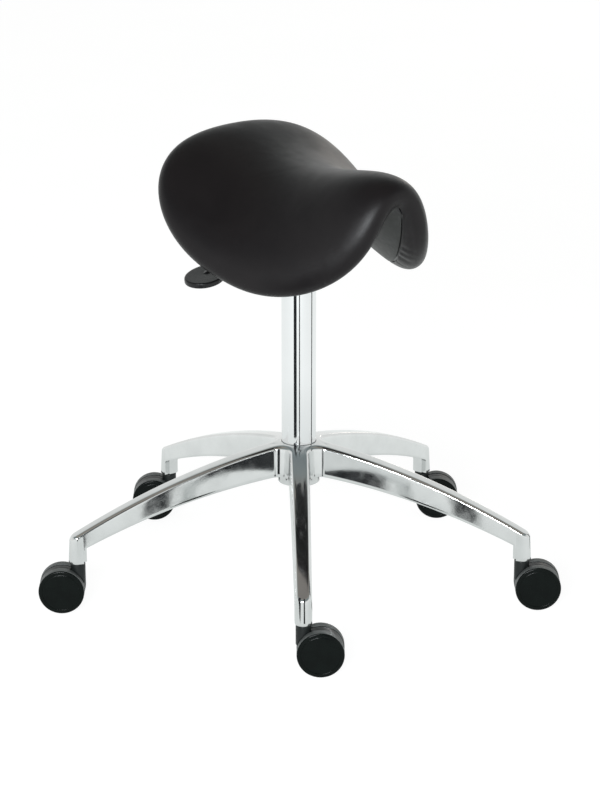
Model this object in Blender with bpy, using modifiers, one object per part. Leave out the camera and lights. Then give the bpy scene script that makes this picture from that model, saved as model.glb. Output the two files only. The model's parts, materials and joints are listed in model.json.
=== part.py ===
"""Saddle stool for a dental surgery: a moulded saddle seat on a gas lift and a five-arm cast base with casters.

Metres and degrees. +Z is up, and the origin is on the floor, on the axis of the column. One arm of the base
points towards -Y. The seat is built in its own axes: u forwards to the pommel, v to the rider's left.
"""

import math

import bmesh
import bpy
import numpy as np
from mathutils import Matrix, Vector

# ---- driving dimensions ----
GAP = 0.0003  # kept between pieces that touch

# base
ARMS = 5
BASE_YAW = 1.1  # how far the base is turned from an arm exactly along -Y
PIVOT_R = 0.336  # from the column to a caster's pivot
ARM_END_R = 0.3475
ARM_HALF_W_HUB, ARM_HALF_W_END = 0.0135, 0.0103
ARM_TOP = ((0.030, 0.2190), (0.186, 0.1795), (0.339, 0.1150))  # radius and height of the arched crest
ARM_UNDER = ((0.046, 0.1710), (0.193, 0.1426), (0.325, 0.0965))
ARM_STEPS = 7
ARM_WALL, ARM_ROOF = 0.0032, 0.0050
CHANNEL_FROM, CHANNEL_TO = 0.066, 0.316  # the hollow under each arm
EDGE = 0.0026  # bevel along the top of the arms
FILLET_R, FILLET_END_R = 0.020, 0.046  # the web between two arms, and where it meets an arm's side
BOSS_Z = 0.0725  # underside of the caster boss
BOSS_IN_R = 0.3300
BOSS_RIB_IN_R, BOSS_RIB_HALF_W = 0.3245, 0.0070
HUB_Z, HUB_RING_R, HUB_RING_TOP = 0.158, 0.0305, 0.176
STEM_SOCKET_R, STEM_SOCKET_TOP = 0.0058, 0.1075

# column and gas lift
TUBE_R, TUBE_IN_R = 0.0250, 0.0232
TUBE_Z, TUBE_FLOOR, TUBE_TOP = 0.160, 0.164, 0.500
CYL_R, CYL_IN_R = 0.0140, 0.0122
CYL_Z, CYL_CAP, CYL_TOP = 0.185, 0.532, 0.542
ROD_R = 0.0050
PIN_R, PIN_TOP = 0.0030, 0.5455

# casters
WHEEL_R, WHEEL_IN_Y, WHEEL_OUT_Y = 0.033, 0.0071, 0.0205
TRAIL = 0.0235
CASTER_NAMES = ("near", "right_front", "right_rear", "left_rear", "left_front")
TRAIL_SIGN = (1, 1, 1, -1, -1)  # the wheels trail towards +X or -X
HOOD_R, HOOD_HALF_W, HOOD_Z = 0.0322, 0.0065, 0.0090
NECK_R, NECK_Z, NECK_TOP = 0.0107, 0.046, 0.0715

# mechanism and lever, in axes turned so that x points along the lever
LEVER_YAW = 180.0
PLATE_Z, PLATE_T = 0.553, 0.003
WEB_Y, WEB_T, WEB_Z = 0.0215, 0.003, 0.529
SOCKET_R, SOCKET_Z, SOCKET_TOP = 0.0200, 0.506, 0.543
PIVOT_X, PIVOT_Z = 0.036, 0.5462
LEVER_R = 0.0033
PADDLE_X, PADDLE_Y, PADDLE_Z = 0.131, 0.050, 0.4825
PADDLE_YAW, PADDLE_DROOP = 66.4, 8.0
PADDLE_LONG, PADDLE_WIDE, PADDLE_THICK = 0.0375, 0.0275, 0.0080  # half length, half width, thickness
SCREWS = ((0.034, 0.022), (0.034, -0.022), (-0.085, 0.042), (-0.085, -0.042))

# seat: a pad bent over a saddle surface
SEAT_YAW = -50.4  # the pommel points towards +X and -Y
SEAT_Z, SEAT_U = 0.604, 0.026  # the middle of the pad: its height, and how far it is ahead of the column
PAD_HALF_LONG, PAD_HALF_WIDE, PAD_T = 0.195, 0.195, 0.063
OUTLINE_POWER, OUTLINE_TAPER = 2.685, -0.095
RISE_AT = (-1.0, -0.35, 0.35, 1.0)
RISE = (-29.6, -11.8, 9.2, 0.6)  # slope of the centre line, tail to pommel
DROOP_TAIL, DROOP_POMMEL = 3.7, 73.5  # steepest slope of the flanks
CREST_TAIL, CREST_POMMEL = 0.094, 0.032  # how wide the crown is before the flanks fall
DROOP_POWER = 0.814
EDGE_POWER, EDGE_ROUND = 5.2, 2.2
SKIN, SHELL_T, LINER_T = 0.0018, 0.0095, 0.0014
FOAM_INSET = 0.0032  # from the outside of the cover to the foam
FOAM_CLEARANCE = 0.0022  # between the flat facets of the foam and those of the shell
SHELL_LIFT = LINER_T + 4 * GAP  # from the outside of the liner up to the shell
RIM_RHO, SHELL_RHO, LINER_RHO = 0.80, 0.84, 0.79
SEAM_LONG, SEAM_WIDE, SEAM_POWER = 0.935, 0.90, 2.2  # the rim of the cover underneath: rounder than the pad
TOP_RHOS = (0, 0.22, 0.43, 0.62, 0.77, 0.87, 0.94, 0.98)
LINER_RHOS = (0, 0.22, 0.43, 0.62, LINER_RHO)
SHELL_RHOS = (*LINER_RHOS, SHELL_RHO)

ROUND, MIDDLING, SMALL = 24, 16, 12  # sides of turned pieces, by size


# ---- scene helpers ----
def clear_scene():
    for obj in list(bpy.data.objects):
        bpy.data.objects.remove(obj, do_unlink=True)


def collection(name):
    made = bpy.data.collections.new(name)
    bpy.context.scene.collection.children.link(made)
    return made


def material(name, colour, roughness, metallic=0.0):
    made = bpy.data.materials.new(name)
    made.use_nodes = True
    shader = made.node_tree.nodes["Principled BSDF"]
    shader.inputs["Base Color"].default_value = (*colour, 1.0)
    shader.inputs["Roughness"].default_value = roughness
    shader.inputs["Metallic"].default_value = metallic
    return made


def empty(name, location=(0, 0, 0), yaw=0.0, parent=None):
    made = bpy.data.objects.new(name, None)
    made.location = location
    made.rotation_euler = (0, 0, math.radians(yaw))
    made.parent = parent
    parts.objects.link(made)
    return made


def place(name, mesh, finish, parent=None, location=(0, 0, 0), into=None):
    made = bpy.data.objects.new(name, mesh)
    made.location = location
    made.parent = parent
    if finish:
        mesh.materials.append(finish)
        mesh.shade_smooth()
        mesh.set_sharp_from_angle(angle=math.radians(35))
    (into or parts).objects.link(made)
    return made


def cutter(name, mesh, parent=None, location=(0, 0, 0)):
    made = place(name, mesh, None, parent, location, into=cutters)
    made.hide_render = True
    made.display_type = "WIRE"
    return made


def mesh_of(name, points, faces):
    made = bpy.data.meshes.new(name)
    made.from_pydata([tuple(p) for p in points], [], faces)
    return made


def from_bmesh(name, work):
    bmesh.ops.recalc_face_normals(work, faces=work.faces)
    made = bpy.data.meshes.new(name)
    work.to_mesh(made)
    work.free()
    return made


def cylinder(name, radius, low, high, sides=SMALL):
    """A solid cylinder along Z, from low to high."""
    work = bmesh.new()
    middle = Matrix.Translation((0.0, 0.0, (low + high) / 2))
    bmesh.ops.create_cone(
        work, cap_ends=True, segments=sides, radius1=radius, radius2=radius, depth=high - low, matrix=middle
    )
    return from_bmesh(name, work)


def box(name, low, high):
    work = bmesh.new()
    bmesh.ops.create_cube(work, size=1.0)
    size = [h - l for l, h in zip(low, high)]
    middle = [(h + l) / 2 for l, h in zip(low, high)]
    bmesh.ops.scale(work, vec=size, verts=work.verts)
    bmesh.ops.translate(work, vec=middle, verts=work.verts)
    return from_bmesh(name, work)


def lay_along_y(mesh):
    """Turns a piece made about Z so that its axis is Y, with its top towards -Y."""
    mesh.transform(Matrix.Rotation(math.pi / 2, 4, "X"))
    return mesh


def turned(name, profile, finish, parent=None, location=(0, 0, 0), sides=ROUND, closed=True):
    """A profile of (radius, height) down its outer side, turned about the piece's Z axis."""
    count = len(profile)
    edges = [(i, (i + 1) % count) for i in range(count if closed else count - 1)]
    mesh = bpy.data.meshes.new(name)
    mesh.from_pydata([(r, 0, z) for r, z in profile], edges, [])
    made = bpy.data.objects.new(name, mesh)
    cutters.objects.link(made)
    screw = made.modifiers.new("turn", "SCREW")
    screw.steps = screw.render_steps = sides
    screw.use_merge_vertices = True
    screw.merge_threshold = 0.00001
    screw.use_smooth_shade = True
    solid = evaluated_copy(made)
    bpy.data.objects.remove(made, do_unlink=True)
    return place(name, solid, finish, parent, location)


def evaluated_copy(obj):
    bpy.context.view_layer.update()
    graph = bpy.context.evaluated_depsgraph_get()
    return bpy.data.meshes.new_from_object(obj.evaluated_get(graph))


def boolean(obj, tool, operation):
    """Joins to or cuts from obj a tool object, which stays with the cutters."""
    step = obj.modifiers.new(operation.lower(), "BOOLEAN")
    step.operation = operation
    step.solver = "EXACT"
    step.object = tool


def arc_through(points):
    """The height above radius r of the parabola through three (radius, height) points."""
    radii, heights = zip(*points)
    return np.poly1d(np.polyfit(radii, heights, 2))


# ---- the five-arm base ----
arm_top = arc_through(ARM_TOP)
arm_under = arc_through(ARM_UNDER)
END_CENTRE_R = ARM_END_R - ARM_HALF_W_END


def half_width(r):
    share = (r - FILLET_END_R) / (END_CENTRE_R - FILLET_END_R)
    return ARM_HALF_W_HUB + (ARM_HALF_W_END - ARM_HALF_W_HUB) * share


def arm_side(inset):
    """One side of an arm seen from above, from the web's middle to the tip, moved inwards by inset."""
    half_turn = math.pi / ARMS
    along = FILLET_END_R
    centre_y = ARM_HALF_W_HUB + FILLET_R
    points = []
    for step in range(3):
        # from the line midway between two arms round to the arm's side
        turn = -(math.pi / 2) - (half_turn + (math.pi / 2 - 2 * half_turn)) * (1 - step / 2)
        points.append(
            (
                along + (FILLET_R + inset) * math.cos(turn),
                centre_y + (FILLET_R + inset) * math.sin(turn),
            )
        )
    for step in range(1, ARM_STEPS + 1):
        r = FILLET_END_R + (BOSS_IN_R - 0.0005 - FILLET_END_R) * step / ARM_STEPS
        points.append((r, half_width(r) - inset))
    points.append((BOSS_IN_R, half_width(BOSS_IN_R) - inset))
    for step in range(4):
        turn = math.pi / 2 * (1 - step / 4)
        radius = ARM_HALF_W_END - inset
        points.append((END_CENTRE_R + radius * math.cos(turn), radius * math.sin(turn)))
    return points


def star_mesh():
    """The arms and the web between them as one closed mesh, with the casters' bosses at the tips."""
    side, top = arm_side(0.0), arm_side(EDGE)
    count = len(side)
    first_boss = 3 + ARM_STEPS
    rings = []
    for place_of, height in (
        (side, lambda i, r: BOSS_Z if i >= first_boss else arm_under(r)),
        (side, lambda i, r: arm_top(r) - EDGE),
        (top, lambda i, r: arm_top(r)),
    ):
        right = [(x, -y, height(i, side[i][0])) for i, (x, y) in enumerate(place_of)]
        tip = (ARM_END_R - (EDGE if place_of is top else 0.0), 0.0)
        tip = (*tip, height(count, ARM_END_R))
        left = [(x, y, height(i, side[i][0])) for i, (x, y) in reversed(list(enumerate(place_of)))]
        rings.append(right + [tip] + left[:-1])
    one = len(rings[0])
    around = one * ARMS
    points = []
    for ring in rings:
        for arm in range(ARMS):
            spin = Matrix.Rotation(2 * math.pi * arm / ARMS, 3, "Z")
            points += [spin @ Vector(p) for p in ring]
    faces = []
    for level in (0, around):
        for i in range(around):
            j = (i + 1) % around
            faces.append((level + i, level + j, level + around + j, level + around + i))
    for level, flip in ((0, True), (2 * around, False)):
        for arm in range(ARMS):
            start = level + arm * one
            for i in range(2, count - 1):
                a, b = start + i, start + i + 1
                c, d = start + 2 * count - i - 1, start + 2 * count - i
                faces.append((a, d, c, b) if flip else (a, b, c, d))
            tip_fan = (start + count - 1, start + count, start + count + 1)
            faces.append(tip_fan[::-1] if flip else tip_fan)
        middle = hub_polygon(level, one, count)
        faces.append(middle[::-1] if flip else middle)
    return mesh_of("star_base", points, faces)


def hub_polygon(level, one, count):
    """The many-sided face in the middle, inside the first station of each arm."""
    ring = []
    for arm in range(ARMS):
        start = level + arm * one
        ring += [start, start + 1, start + 2, start + 2 * count - 2, start + 2 * count - 1]
    return ring


def arm_hollow():
    """The channel under one arm along +X, as a tapered block that reaches below the arm."""
    rings = []
    for step in range(ARM_STEPS + 1):
        r = CHANNEL_FROM + (CHANNEL_TO - CHANNEL_FROM) * step / ARM_STEPS
        wide = half_width(r) - ARM_WALL
        narrow = wide - 0.0015
        roof = arm_top(r) - ARM_ROOF
        low = arm_under(r) - 0.010
        rings.append([(r, -wide, low), (r, wide, low), (r, narrow, roof), (r, -narrow, roof)])
    points = [p for ring in rings for p in ring]
    faces = [(3, 2, 1, 0), tuple(range(len(points) - 4, len(points)))]
    for step in range(ARM_STEPS):
        for i in range(4):
            j = (i + 1) % 4
            a = 4 * step
            faces.append((a + i, a + j, a + 4 + j, a + 4 + i))
    return mesh_of("arm_hollow", points, faces)


def build_base(finish):
    base_axes = empty("base_axes", yaw=-90.0 + BASE_YAW)
    star = place("star_base", star_mesh(), finish, base_axes)
    ring = cutter("hub_ring", cylinder("hub_ring", HUB_RING_R, HUB_Z, HUB_RING_TOP, ROUND), base_axes)
    boolean(star, ring, "UNION")
    for arm in range(ARMS):
        turn = empty(f"arm_axes_{arm}", yaw=360.0 * arm / ARMS, parent=base_axes)
        low = (BOSS_RIB_IN_R, -BOSS_RIB_HALF_W, BOSS_Z + 0.001)
        high = (PIVOT_R, BOSS_RIB_HALF_W, arm_under(PIVOT_R) + 0.010)
        boolean(star, cutter(f"boss_rib_{arm}", box("boss_rib", low, high), turn), "UNION")
    bore = cutter("hub_bore", cylinder("hub_bore", TUBE_R + GAP, HUB_Z - 0.01, 0.24, ROUND), base_axes)
    boolean(star, bore, "DIFFERENCE")
    for arm in range(ARMS):
        turn = bpy.data.objects[f"arm_axes_{arm}"]
        boolean(star, cutter(f"arm_hollow_{arm}", arm_hollow(), turn), "DIFFERENCE")
        hole = cylinder("stem_socket", STEM_SOCKET_R, BOSS_Z - 0.01, STEM_SOCKET_TOP)
        boolean(star, cutter(f"stem_socket_{arm}", hole, turn, (PIVOT_R, 0, 0)), "DIFFERENCE")


# ---- the column and its gas lift ----
def ring_profile(inner, outer, low, high):
    return [(outer, high), (outer, low), (inner, low), (inner, high)]


def build_column(chrome, steel, dark_steel, plastic, rubber):
    tube = [
        (TUBE_R - 0.0005, TUBE_TOP),
        (TUBE_R, TUBE_TOP - 0.0005),
        (TUBE_R, TUBE_Z),
        (ROD_R + 0.0006, TUBE_Z),
        (ROD_R + 0.0006, TUBE_FLOOR),
        (TUBE_IN_R, TUBE_FLOOR),
        (TUBE_IN_R, TUBE_TOP),
    ]
    turned("column_tube", tube, chrome)
    bush = [
        (TUBE_R - 0.0008, TUBE_TOP + 0.0030),
        (TUBE_R - 0.0003, TUBE_TOP + 0.0025),
        (TUBE_R - 0.0003, TUBE_TOP + GAP),
        (TUBE_IN_R - GAP, TUBE_TOP + GAP),
        (TUBE_IN_R - GAP, TUBE_TOP - 0.100),
        (CYL_R + GAP, TUBE_TOP - 0.100),
        (CYL_R + GAP, TUBE_TOP + 0.0030),
    ]
    turned("column_bush", bush, plastic)
    race_in, race_out = ROD_R + 0.0008, 0.0125
    stack = TUBE_FLOOR + GAP
    turned("thrust_race_lower", ring_profile(race_in, race_out, stack, stack + 0.0018), steel, sides=MIDDLING)
    stack += 0.0018 + GAP
    cage = [
        (0.0118, stack + 0.0015),
        (0.0108, stack),
        (0.0080, stack),
        (0.0070, stack + 0.0015),
        (0.0080, stack + 0.0030),
        (0.0108, stack + 0.0030),
    ]
    turned("thrust_ball_ring", cage, steel, sides=MIDDLING)
    stack += 0.0030 + GAP
    turned("thrust_race_upper", ring_profile(race_in, race_out, stack, stack + 0.0018), steel, sides=MIDDLING)
    shoulder = stack + 0.0018 + GAP
    rod = [
        (ROD_R - 0.0006, 0.4040),
        (ROD_R, 0.4034),
        (ROD_R, shoulder + 0.0028),
        (0.0078, shoulder + 0.0028),
        (0.0078, shoulder),
        (ROD_R, shoulder),
        (ROD_R, 0.1540),
        (0.0, 0.1540),
    ]
    turned("piston_rod", [(0.0, 0.4040), *rod], chrome, sides=MIDDLING, closed=False)
    buffer_low = shoulder + 0.0028 + GAP
    turned("stop_buffer", ring_profile(ROD_R + 0.0006, 0.0112, buffer_low, CYL_Z - GAP), rubber, sides=MIDDLING)
    turned("piston", ring_profile(ROD_R + 0.0002, CYL_IN_R - 0.0005, 0.3900, 0.4020), dark_steel, sides=MIDDLING)
    clip_low, clip_high = 0.1574, 0.1588
    clip = turned("rod_clip", ring_profile(ROD_R + 0.0003, 0.0086, clip_low, clip_high), steel, sides=MIDDLING)
    slot = box("clip_slot", (0.002, -0.0022, clip_low - 0.001), (0.012, 0.0022, clip_high + 0.001))
    boolean(clip, cutter("clip_slot", slot), "DIFFERENCE")


def build_gas_spring(dark_steel, steel, plastic):
    valve_r = PIN_R + 0.0004
    cylinder_profile = [
        (0.0124, CYL_TOP),
        (0.0130, CYL_TOP - 0.0006),
        (CYL_R, SOCKET_Z - 0.002),
        (CYL_R, CYL_Z),
        (CYL_IN_R, CYL_Z),
        (CYL_IN_R, CYL_CAP),
        (valve_r, CYL_CAP),
        (valve_r, CYL_TOP),
    ]
    turned("gas_cylinder", cylinder_profile, dark_steel)
    gland = ring_profile(ROD_R + 0.0003, CYL_IN_R - GAP, CYL_Z + 0.0006, CYL_Z + 0.0130)
    turned("cylinder_gland", gland, plastic, sides=MIDDLING)
    pin = [(0.0, PIN_TOP), (PIN_R - 0.0005, PIN_TOP), (PIN_R, PIN_TOP - 0.0005), (PIN_R, 0.516), (0.0, 0.516)]
    turned("release_pin", pin, steel, sides=SMALL, closed=False)


# ---- casters ----
def wheel_profile():
    """Half section of one wheel: radius, and distance from the caster's middle plane."""
    bore, bore_end = 0.0044, 0.0152
    return [
        (0.0, WHEEL_OUT_Y),
        (0.0300, WHEEL_OUT_Y),
        (WHEEL_R, WHEEL_OUT_Y - 0.0032),
        (WHEEL_R, WHEEL_IN_Y),
        (bore, WHEEL_IN_Y),
        (bore, bore_end),
        (0.0, bore_end),
    ]


def wheel_mesh(name, finish):
    """A wheel about Y with a flat of its tread at the bottom, its disc towards -Y."""
    sides = 20
    share = 1 / math.cos(math.pi / sides)
    profile = [(r * (share if r > 0.031 else 1.0), z) for r, z in wheel_profile()]
    made = turned(name, profile, finish, sides=sides, closed=False)
    mesh = made.data
    mesh.transform(Matrix.Rotation(math.pi / 2 + math.pi / sides, 4, "Z"))
    lay_along_y(mesh)
    return made


def build_caster(name, arm, trail_sign, plastic, tread, steel):
    turn = math.radians(-90.0 + BASE_YAW + 360.0 * arm / ARMS)
    pivot = (PIVOT_R * math.cos(turn), PIVOT_R * math.sin(turn), 0.0)
    axes = empty(f"{name}_swivel_axes", pivot, 0.0 if trail_sign > 0 else 180.0)
    hub = (TRAIL, 0.0, WHEEL_R)

    hood = lay_along_y(cylinder("hood", HOOD_R, -HOOD_HALF_W, HOOD_HALF_W, ROUND))
    hood.transform(Matrix.Translation(hub))
    housing = place(f"{name}_caster_housing", hood, plastic, axes)
    neck = cylinder("neck", NECK_R, NECK_Z, NECK_TOP, 20)
    boolean(housing, cutter(f"{name}_neck", neck, axes), "UNION")
    for side in (-1, 1):
        low, high = sorted((side * (HOOD_HALF_W + 0.0004), side * 0.030))
        sweep = lay_along_y(cylinder("sweep", WHEEL_R + 0.0012, low, high, ROUND))
        boolean(housing, cutter(f"{name}_sweep_{side}", sweep, axes, hub), "DIFFERENCE")
    foot = box("foot", (-0.02, -0.02, -0.02), (0.08, 0.02, HOOD_Z))
    boolean(housing, cutter(f"{name}_foot", foot, axes), "DIFFERENCE")
    socket = cylinder("socket", 0.0054, 0.0485, NECK_TOP + 0.01)
    boolean(housing, cutter(f"{name}_socket", socket, axes), "DIFFERENCE")
    bore = lay_along_y(cylinder("bore", 0.0044, -0.02, 0.02))
    boolean(housing, cutter(f"{name}_bore", bore, axes, hub), "DIFFERENCE")

    stem = [
        (0.0, 0.1060),
        (0.0042, 0.1060),
        (0.0050, 0.1050),
        (0.0050, 0.1000),
        (0.0053, 0.0980),
        (0.0050, 0.0960),
        (0.0050, 0.0495),
        (0.0, 0.0495),
    ]
    turned(f"{name}_caster_stem", stem, steel, axes, sides=SMALL, closed=False)
    axle = lay_along_y(cylinder("axle", 0.0040, -0.0148, 0.0148))
    place(f"{name}_caster_axle", axle, steel, axes, hub)
    for letter, flip in (("a", 0.0), ("b", math.pi)):
        wheel = wheel_mesh(f"{name}_wheel_{letter}", tread)
        wheel.parent = axes
        wheel.location = hub
        # Wheel a is on the side towards -Y of the stool, whichever way the caster trails.
        wheel.rotation_euler = (0, 0, flip + (0.0 if trail_sign > 0 else math.pi))


# ---- the mechanism under the seat ----
def build_mechanism(seat_axes, lever_axes, plate_finish, steel):
    outline = ((0.047, 0.031), (-0.020, 0.048), (-0.100, 0.054))
    loop = [(u, v) for u, v in outline] + [(u, -v) for u, v in reversed(outline)]
    points = [(u, v, z) for z in (PLATE_Z, PLATE_Z + PLATE_T) for u, v in loop]
    n = len(loop)
    faces = [tuple(range(n))[::-1], tuple(range(n, 2 * n))]
    faces += [(i, (i + 1) % n, n + (i + 1) % n, n + i) for i in range(n)]
    plate = place("mechanism_plate", mesh_of("mechanism_plate", points, faces), plate_finish, seat_axes)
    reach_in, reach_out = -0.030, 0.048
    for side in (-1, 1):
        low, high = sorted((side * WEB_Y, side * (WEB_Y + WEB_T)))
        web = box("web", (reach_in, low, WEB_Z), (reach_out, high, PLATE_Z + 0.001))
        boolean(plate, cutter(f"web_{side}", web, lever_axes), "UNION")
    floor = box("floor", (reach_in, -WEB_Y - 0.001, WEB_Z), (0.028, WEB_Y + 0.001, WEB_Z + WEB_T))
    boolean(plate, cutter("mechanism_floor", floor, lever_axes), "UNION")
    hole = cylinder("hole", SOCKET_R + GAP, WEB_Z - 0.01, WEB_Z + 0.01, ROUND)
    boolean(plate, cutter("mechanism_hole", hole, lever_axes), "DIFFERENCE")
    pin_hole = lay_along_y(cylinder("pin_hole", 0.0034, -0.05, 0.05))
    at_pivot = (PIVOT_X, 0.0, PIVOT_Z)
    boolean(plate, cutter("pin_hole", pin_hole, lever_axes, at_pivot), "DIFFERENCE")
    for index, (u, v) in enumerate(SCREWS):
        hole = cylinder("screw_hole", 0.0034, PLATE_Z - 0.01, PLATE_Z + 0.01)
        boolean(plate, cutter(f"screw_hole_{index}", hole, seat_axes, (u, v, 0)), "DIFFERENCE")

    socket = [
        (SOCKET_R, SOCKET_TOP),
        (SOCKET_R, WEB_Z - 0.004),
        (0.0175, SOCKET_Z),
        (CYL_R + GAP, SOCKET_Z),
        (CYL_R + GAP, SOCKET_Z + 0.006),
        (0.0133, SOCKET_TOP),
    ]
    turned("taper_socket", socket, steel)
    pin = lay_along_y(cylinder("lever_pin", 0.0030, -WEB_Y - 0.0050, WEB_Y + 0.0050))
    place("lever_pin", pin, steel, lever_axes, at_pivot)


def smooth_path(points, steps):
    """Points along a Catmull-Rom curve through the given ones."""
    ends = [points[0], *points, points[-1]]
    ends = [Vector(p) for p in ends]
    path = []
    for i in range(1, len(ends) - 2):
        a, b, c, d = ends[i - 1 : i + 3]
        for step in range(steps):
            t = step / steps
            bend = (2 * a - 5 * b + 4 * c - d) * t**2 + (3 * b - a - 3 * c + d) * t**3
            path.append(0.5 * (2 * b + (c - a) * t + bend))
    path.append(ends[-2])
    return path


def tube(name, path, radius):
    """A round bar along a path, as a mesh with welded caps."""
    curve = bpy.data.curves.new(name, "CURVE")
    curve.dimensions = "3D"
    curve.bevel_depth = radius
    curve.bevel_resolution = 1
    curve.use_fill_caps = True
    spline = curve.splines.new("POLY")
    spline.points.add(len(path) - 1)
    for point, at in zip(spline.points, path):
        point.co = (*at, 1.0)
    guide = bpy.data.objects.new(name + "_guide", curve)
    cutters.objects.link(guide)
    mesh = evaluated_copy(guide)
    bpy.data.objects.remove(guide, do_unlink=True)
    work = bmesh.new()
    work.from_mesh(mesh)
    bmesh.ops.remove_doubles(work, verts=work.verts, dist=0.00001)
    return from_bmesh(name, work)


def paddle_mesh():
    """An egg-shaped grip about its own middle, long along x, with its broad end outwards."""
    work = bmesh.new()
    half = PADDLE_THICK / 2
    bmesh.ops.create_cone(
        work, cap_ends=True, segments=ROUND, radius1=1.0, radius2=1.0, depth=PADDLE_THICK
    )
    for vert in work.verts:
        egg = 1.0 + 0.10 * vert.co.x
        vert.co.x *= PADDLE_LONG
        vert.co.y *= PADDLE_WIDE * egg
    rims = [e for e in work.edges if abs(e.verts[0].co.z - e.verts[1].co.z) < half]
    bmesh.ops.bevel(work, geom=rims, offset=0.0016, segments=2, affect="EDGES", profile=0.5)
    return from_bmesh("paddle", work)


def build_lever(lever_axes, steel, plastic):
    """The release lever: a bent bar with an eye on the hinge pin, and a paddle pressed on its end."""
    heading = Vector((math.cos(math.radians(PADDLE_YAW)), math.sin(math.radians(PADDLE_YAW)), 0.0))
    drop = math.tan(math.radians(PADDLE_DROOP))
    grip = Vector((PADDLE_X, PADDLE_Y, PADDLE_Z))
    fall = heading - Vector((0, 0, drop))
    mouth = grip - fall * (PADDLE_LONG + 0.008)
    inside = grip - fall * 0.012
    route = (
        (-0.006, 0.0, PIN_TOP + 0.0004 + LEVER_R),
        (0.014, 0.0, PIN_TOP + 0.0004 + LEVER_R),
        (PIVOT_X, 0.0, PIVOT_Z),
        (0.055, 0.0, 0.5385),
        (0.080, -0.0010, 0.5210),
        (0.100, 0.0005, 0.5040),
        tuple(mouth),
    )
    path = smooth_path(route, 3) + [inside]
    bar = place("lever_bar", tube("lever_bar", path, LEVER_R), steel, lever_axes)
    at_pivot = (PIVOT_X, 0.0, PIVOT_Z)
    eye = lay_along_y(cylinder("lever_eye", 0.0062, -0.007, 0.007))
    boolean(bar, cutter("lever_eye", eye, lever_axes, at_pivot), "UNION")
    hole = lay_along_y(cylinder("lever_eye_hole", 0.0034, -0.02, 0.02))
    boolean(bar, cutter("lever_eye_hole", hole, lever_axes, at_pivot), "DIFFERENCE")

    paddle = place("lever_paddle", paddle_mesh(), plastic, lever_axes, grip)
    paddle.rotation_euler = (0, math.radians(PADDLE_DROOP), math.radians(PADDLE_YAW))
    sleeve = tube("sleeve", [(-PADDLE_LONG - 0.004, 0, 0), (-0.006, 0, 0)], 0.0056)
    sleeve_tool = cutter("paddle_sleeve", sleeve, lever_axes, grip)
    sleeve_tool.rotation_euler = paddle.rotation_euler
    boolean(paddle, sleeve_tool, "UNION")
    hole = tube("grip_hole", [(-PADDLE_LONG - 0.012, 0, 0), (-0.0105, 0, 0)], LEVER_R + 0.0005)
    hole_tool = cutter("paddle_hole", hole, lever_axes, grip)
    hole_tool.rotation_euler = paddle.rotation_euler
    boolean(paddle, hole_tool, "DIFFERENCE")


# ---- the saddle seat ----
class Saddle:
    """The middle surface of the pad. p runs forwards along the centre line and q sideways over the crown."""

    def __init__(self):
        self.tau = np.linspace(-1.4, 1.4, 113)
        slope = np.polyfit(RISE_AT, RISE, 3)
        angle = np.radians(np.polyval(slope, np.clip(self.tau, -1.15, 1.15)))
        step = PAD_HALF_LONG * (self.tau[1] - self.tau[0])
        self.u = self.running_sum(np.cos(angle) * step)
        self.z = self.running_sum(np.sin(angle) * step)

    def running_sum(self, steps):
        total = np.concatenate([[0.0], np.cumsum((steps[1:] + steps[:-1]) / 2)])
        return total - total[len(total) // 2]

    def at(self, p, q):
        tau = p / PAD_HALF_LONG
        share = min(max((tau + 1) / 2, 0.0), 1.0) ** DROOP_POWER
        steepest = math.radians(DROOP_TAIL + (DROOP_POMMEL - DROOP_TAIL) * share)
        crest = CREST_TAIL + (CREST_POMMEL - CREST_TAIL) * share
        s = np.linspace(0.0, abs(q), 25)
        slope = steepest * np.tanh(s / crest)
        width = s[1] - s[0]
        across = float(np.sum((np.cos(slope[1:]) + np.cos(slope[:-1])) / 2) * width)
        fall = float(np.sum((np.sin(slope[1:]) + np.sin(slope[:-1])) / 2) * width)
        u = float(np.interp(tau, self.tau, self.u))
        z = float(np.interp(tau, self.tau, self.z))
        return Vector((u + SEAT_U, math.copysign(across, q), z + SEAT_Z - fall))

    def normal(self, p, q):
        d = 0.001
        along = self.at(p + d, q) - self.at(p - d, q)
        across = self.at(p, q + d) - self.at(p, q - d)
        return along.cross(across).normalized()

    def plan(self, rho, theta, inset):
        """Developed place of a point: rho is 0 in the middle and 1 on the edge, theta 0 at the pommel."""
        power = 2 / OUTLINE_POWER
        c, s = math.cos(theta), math.sin(theta)
        p = rho * (PAD_HALF_LONG - inset) * math.copysign(abs(c) ** power, c)
        q = rho * (PAD_HALF_WIDE - inset) * math.copysign(abs(s) ** power, s)
        return p, q * (1 + OUTLINE_TAPER * c)

    def under_rho(self, rho, theta):
        """On the lower face the rings follow the rim of the cover, so that the ring at RIM_RHO lies along it."""
        power = 2 / OUTLINE_POWER
        along = abs(math.cos(theta)) ** power / SEAM_LONG
        across = abs(math.sin(theta)) ** power / SEAM_WIDE
        rim = (along**SEAM_POWER + across**SEAM_POWER) ** (-1 / SEAM_POWER)
        if rho <= RIM_RHO:
            return rho * rim / RIM_RHO
        return rim + (1 - rim) * (rho - RIM_RHO) / (1 - RIM_RHO)

    def half_thickness(self, rho, inset):
        swell = max(1 - rho**EDGE_POWER, 0.0) ** (1 / EDGE_ROUND)
        return (PAD_T / 2 - inset) * swell

    def point(self, rho, theta, side, inset=0.0, lift=0.0):
        """A point of the pad's upper (side 1) or lower (side -1) face, moved inwards by lift."""
        rho = rho if side > 0 else self.under_rho(rho, theta)
        p, q = self.plan(rho, theta, inset)
        height = side * (self.half_thickness(rho, inset) - lift)
        return self.at(p, q) + self.normal(p, q) * height


SADDLE_SIDES = 28


def saddle_thetas():
    return [2 * math.pi * i / SADDLE_SIDES for i in range(SADDLE_SIDES)]


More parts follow.
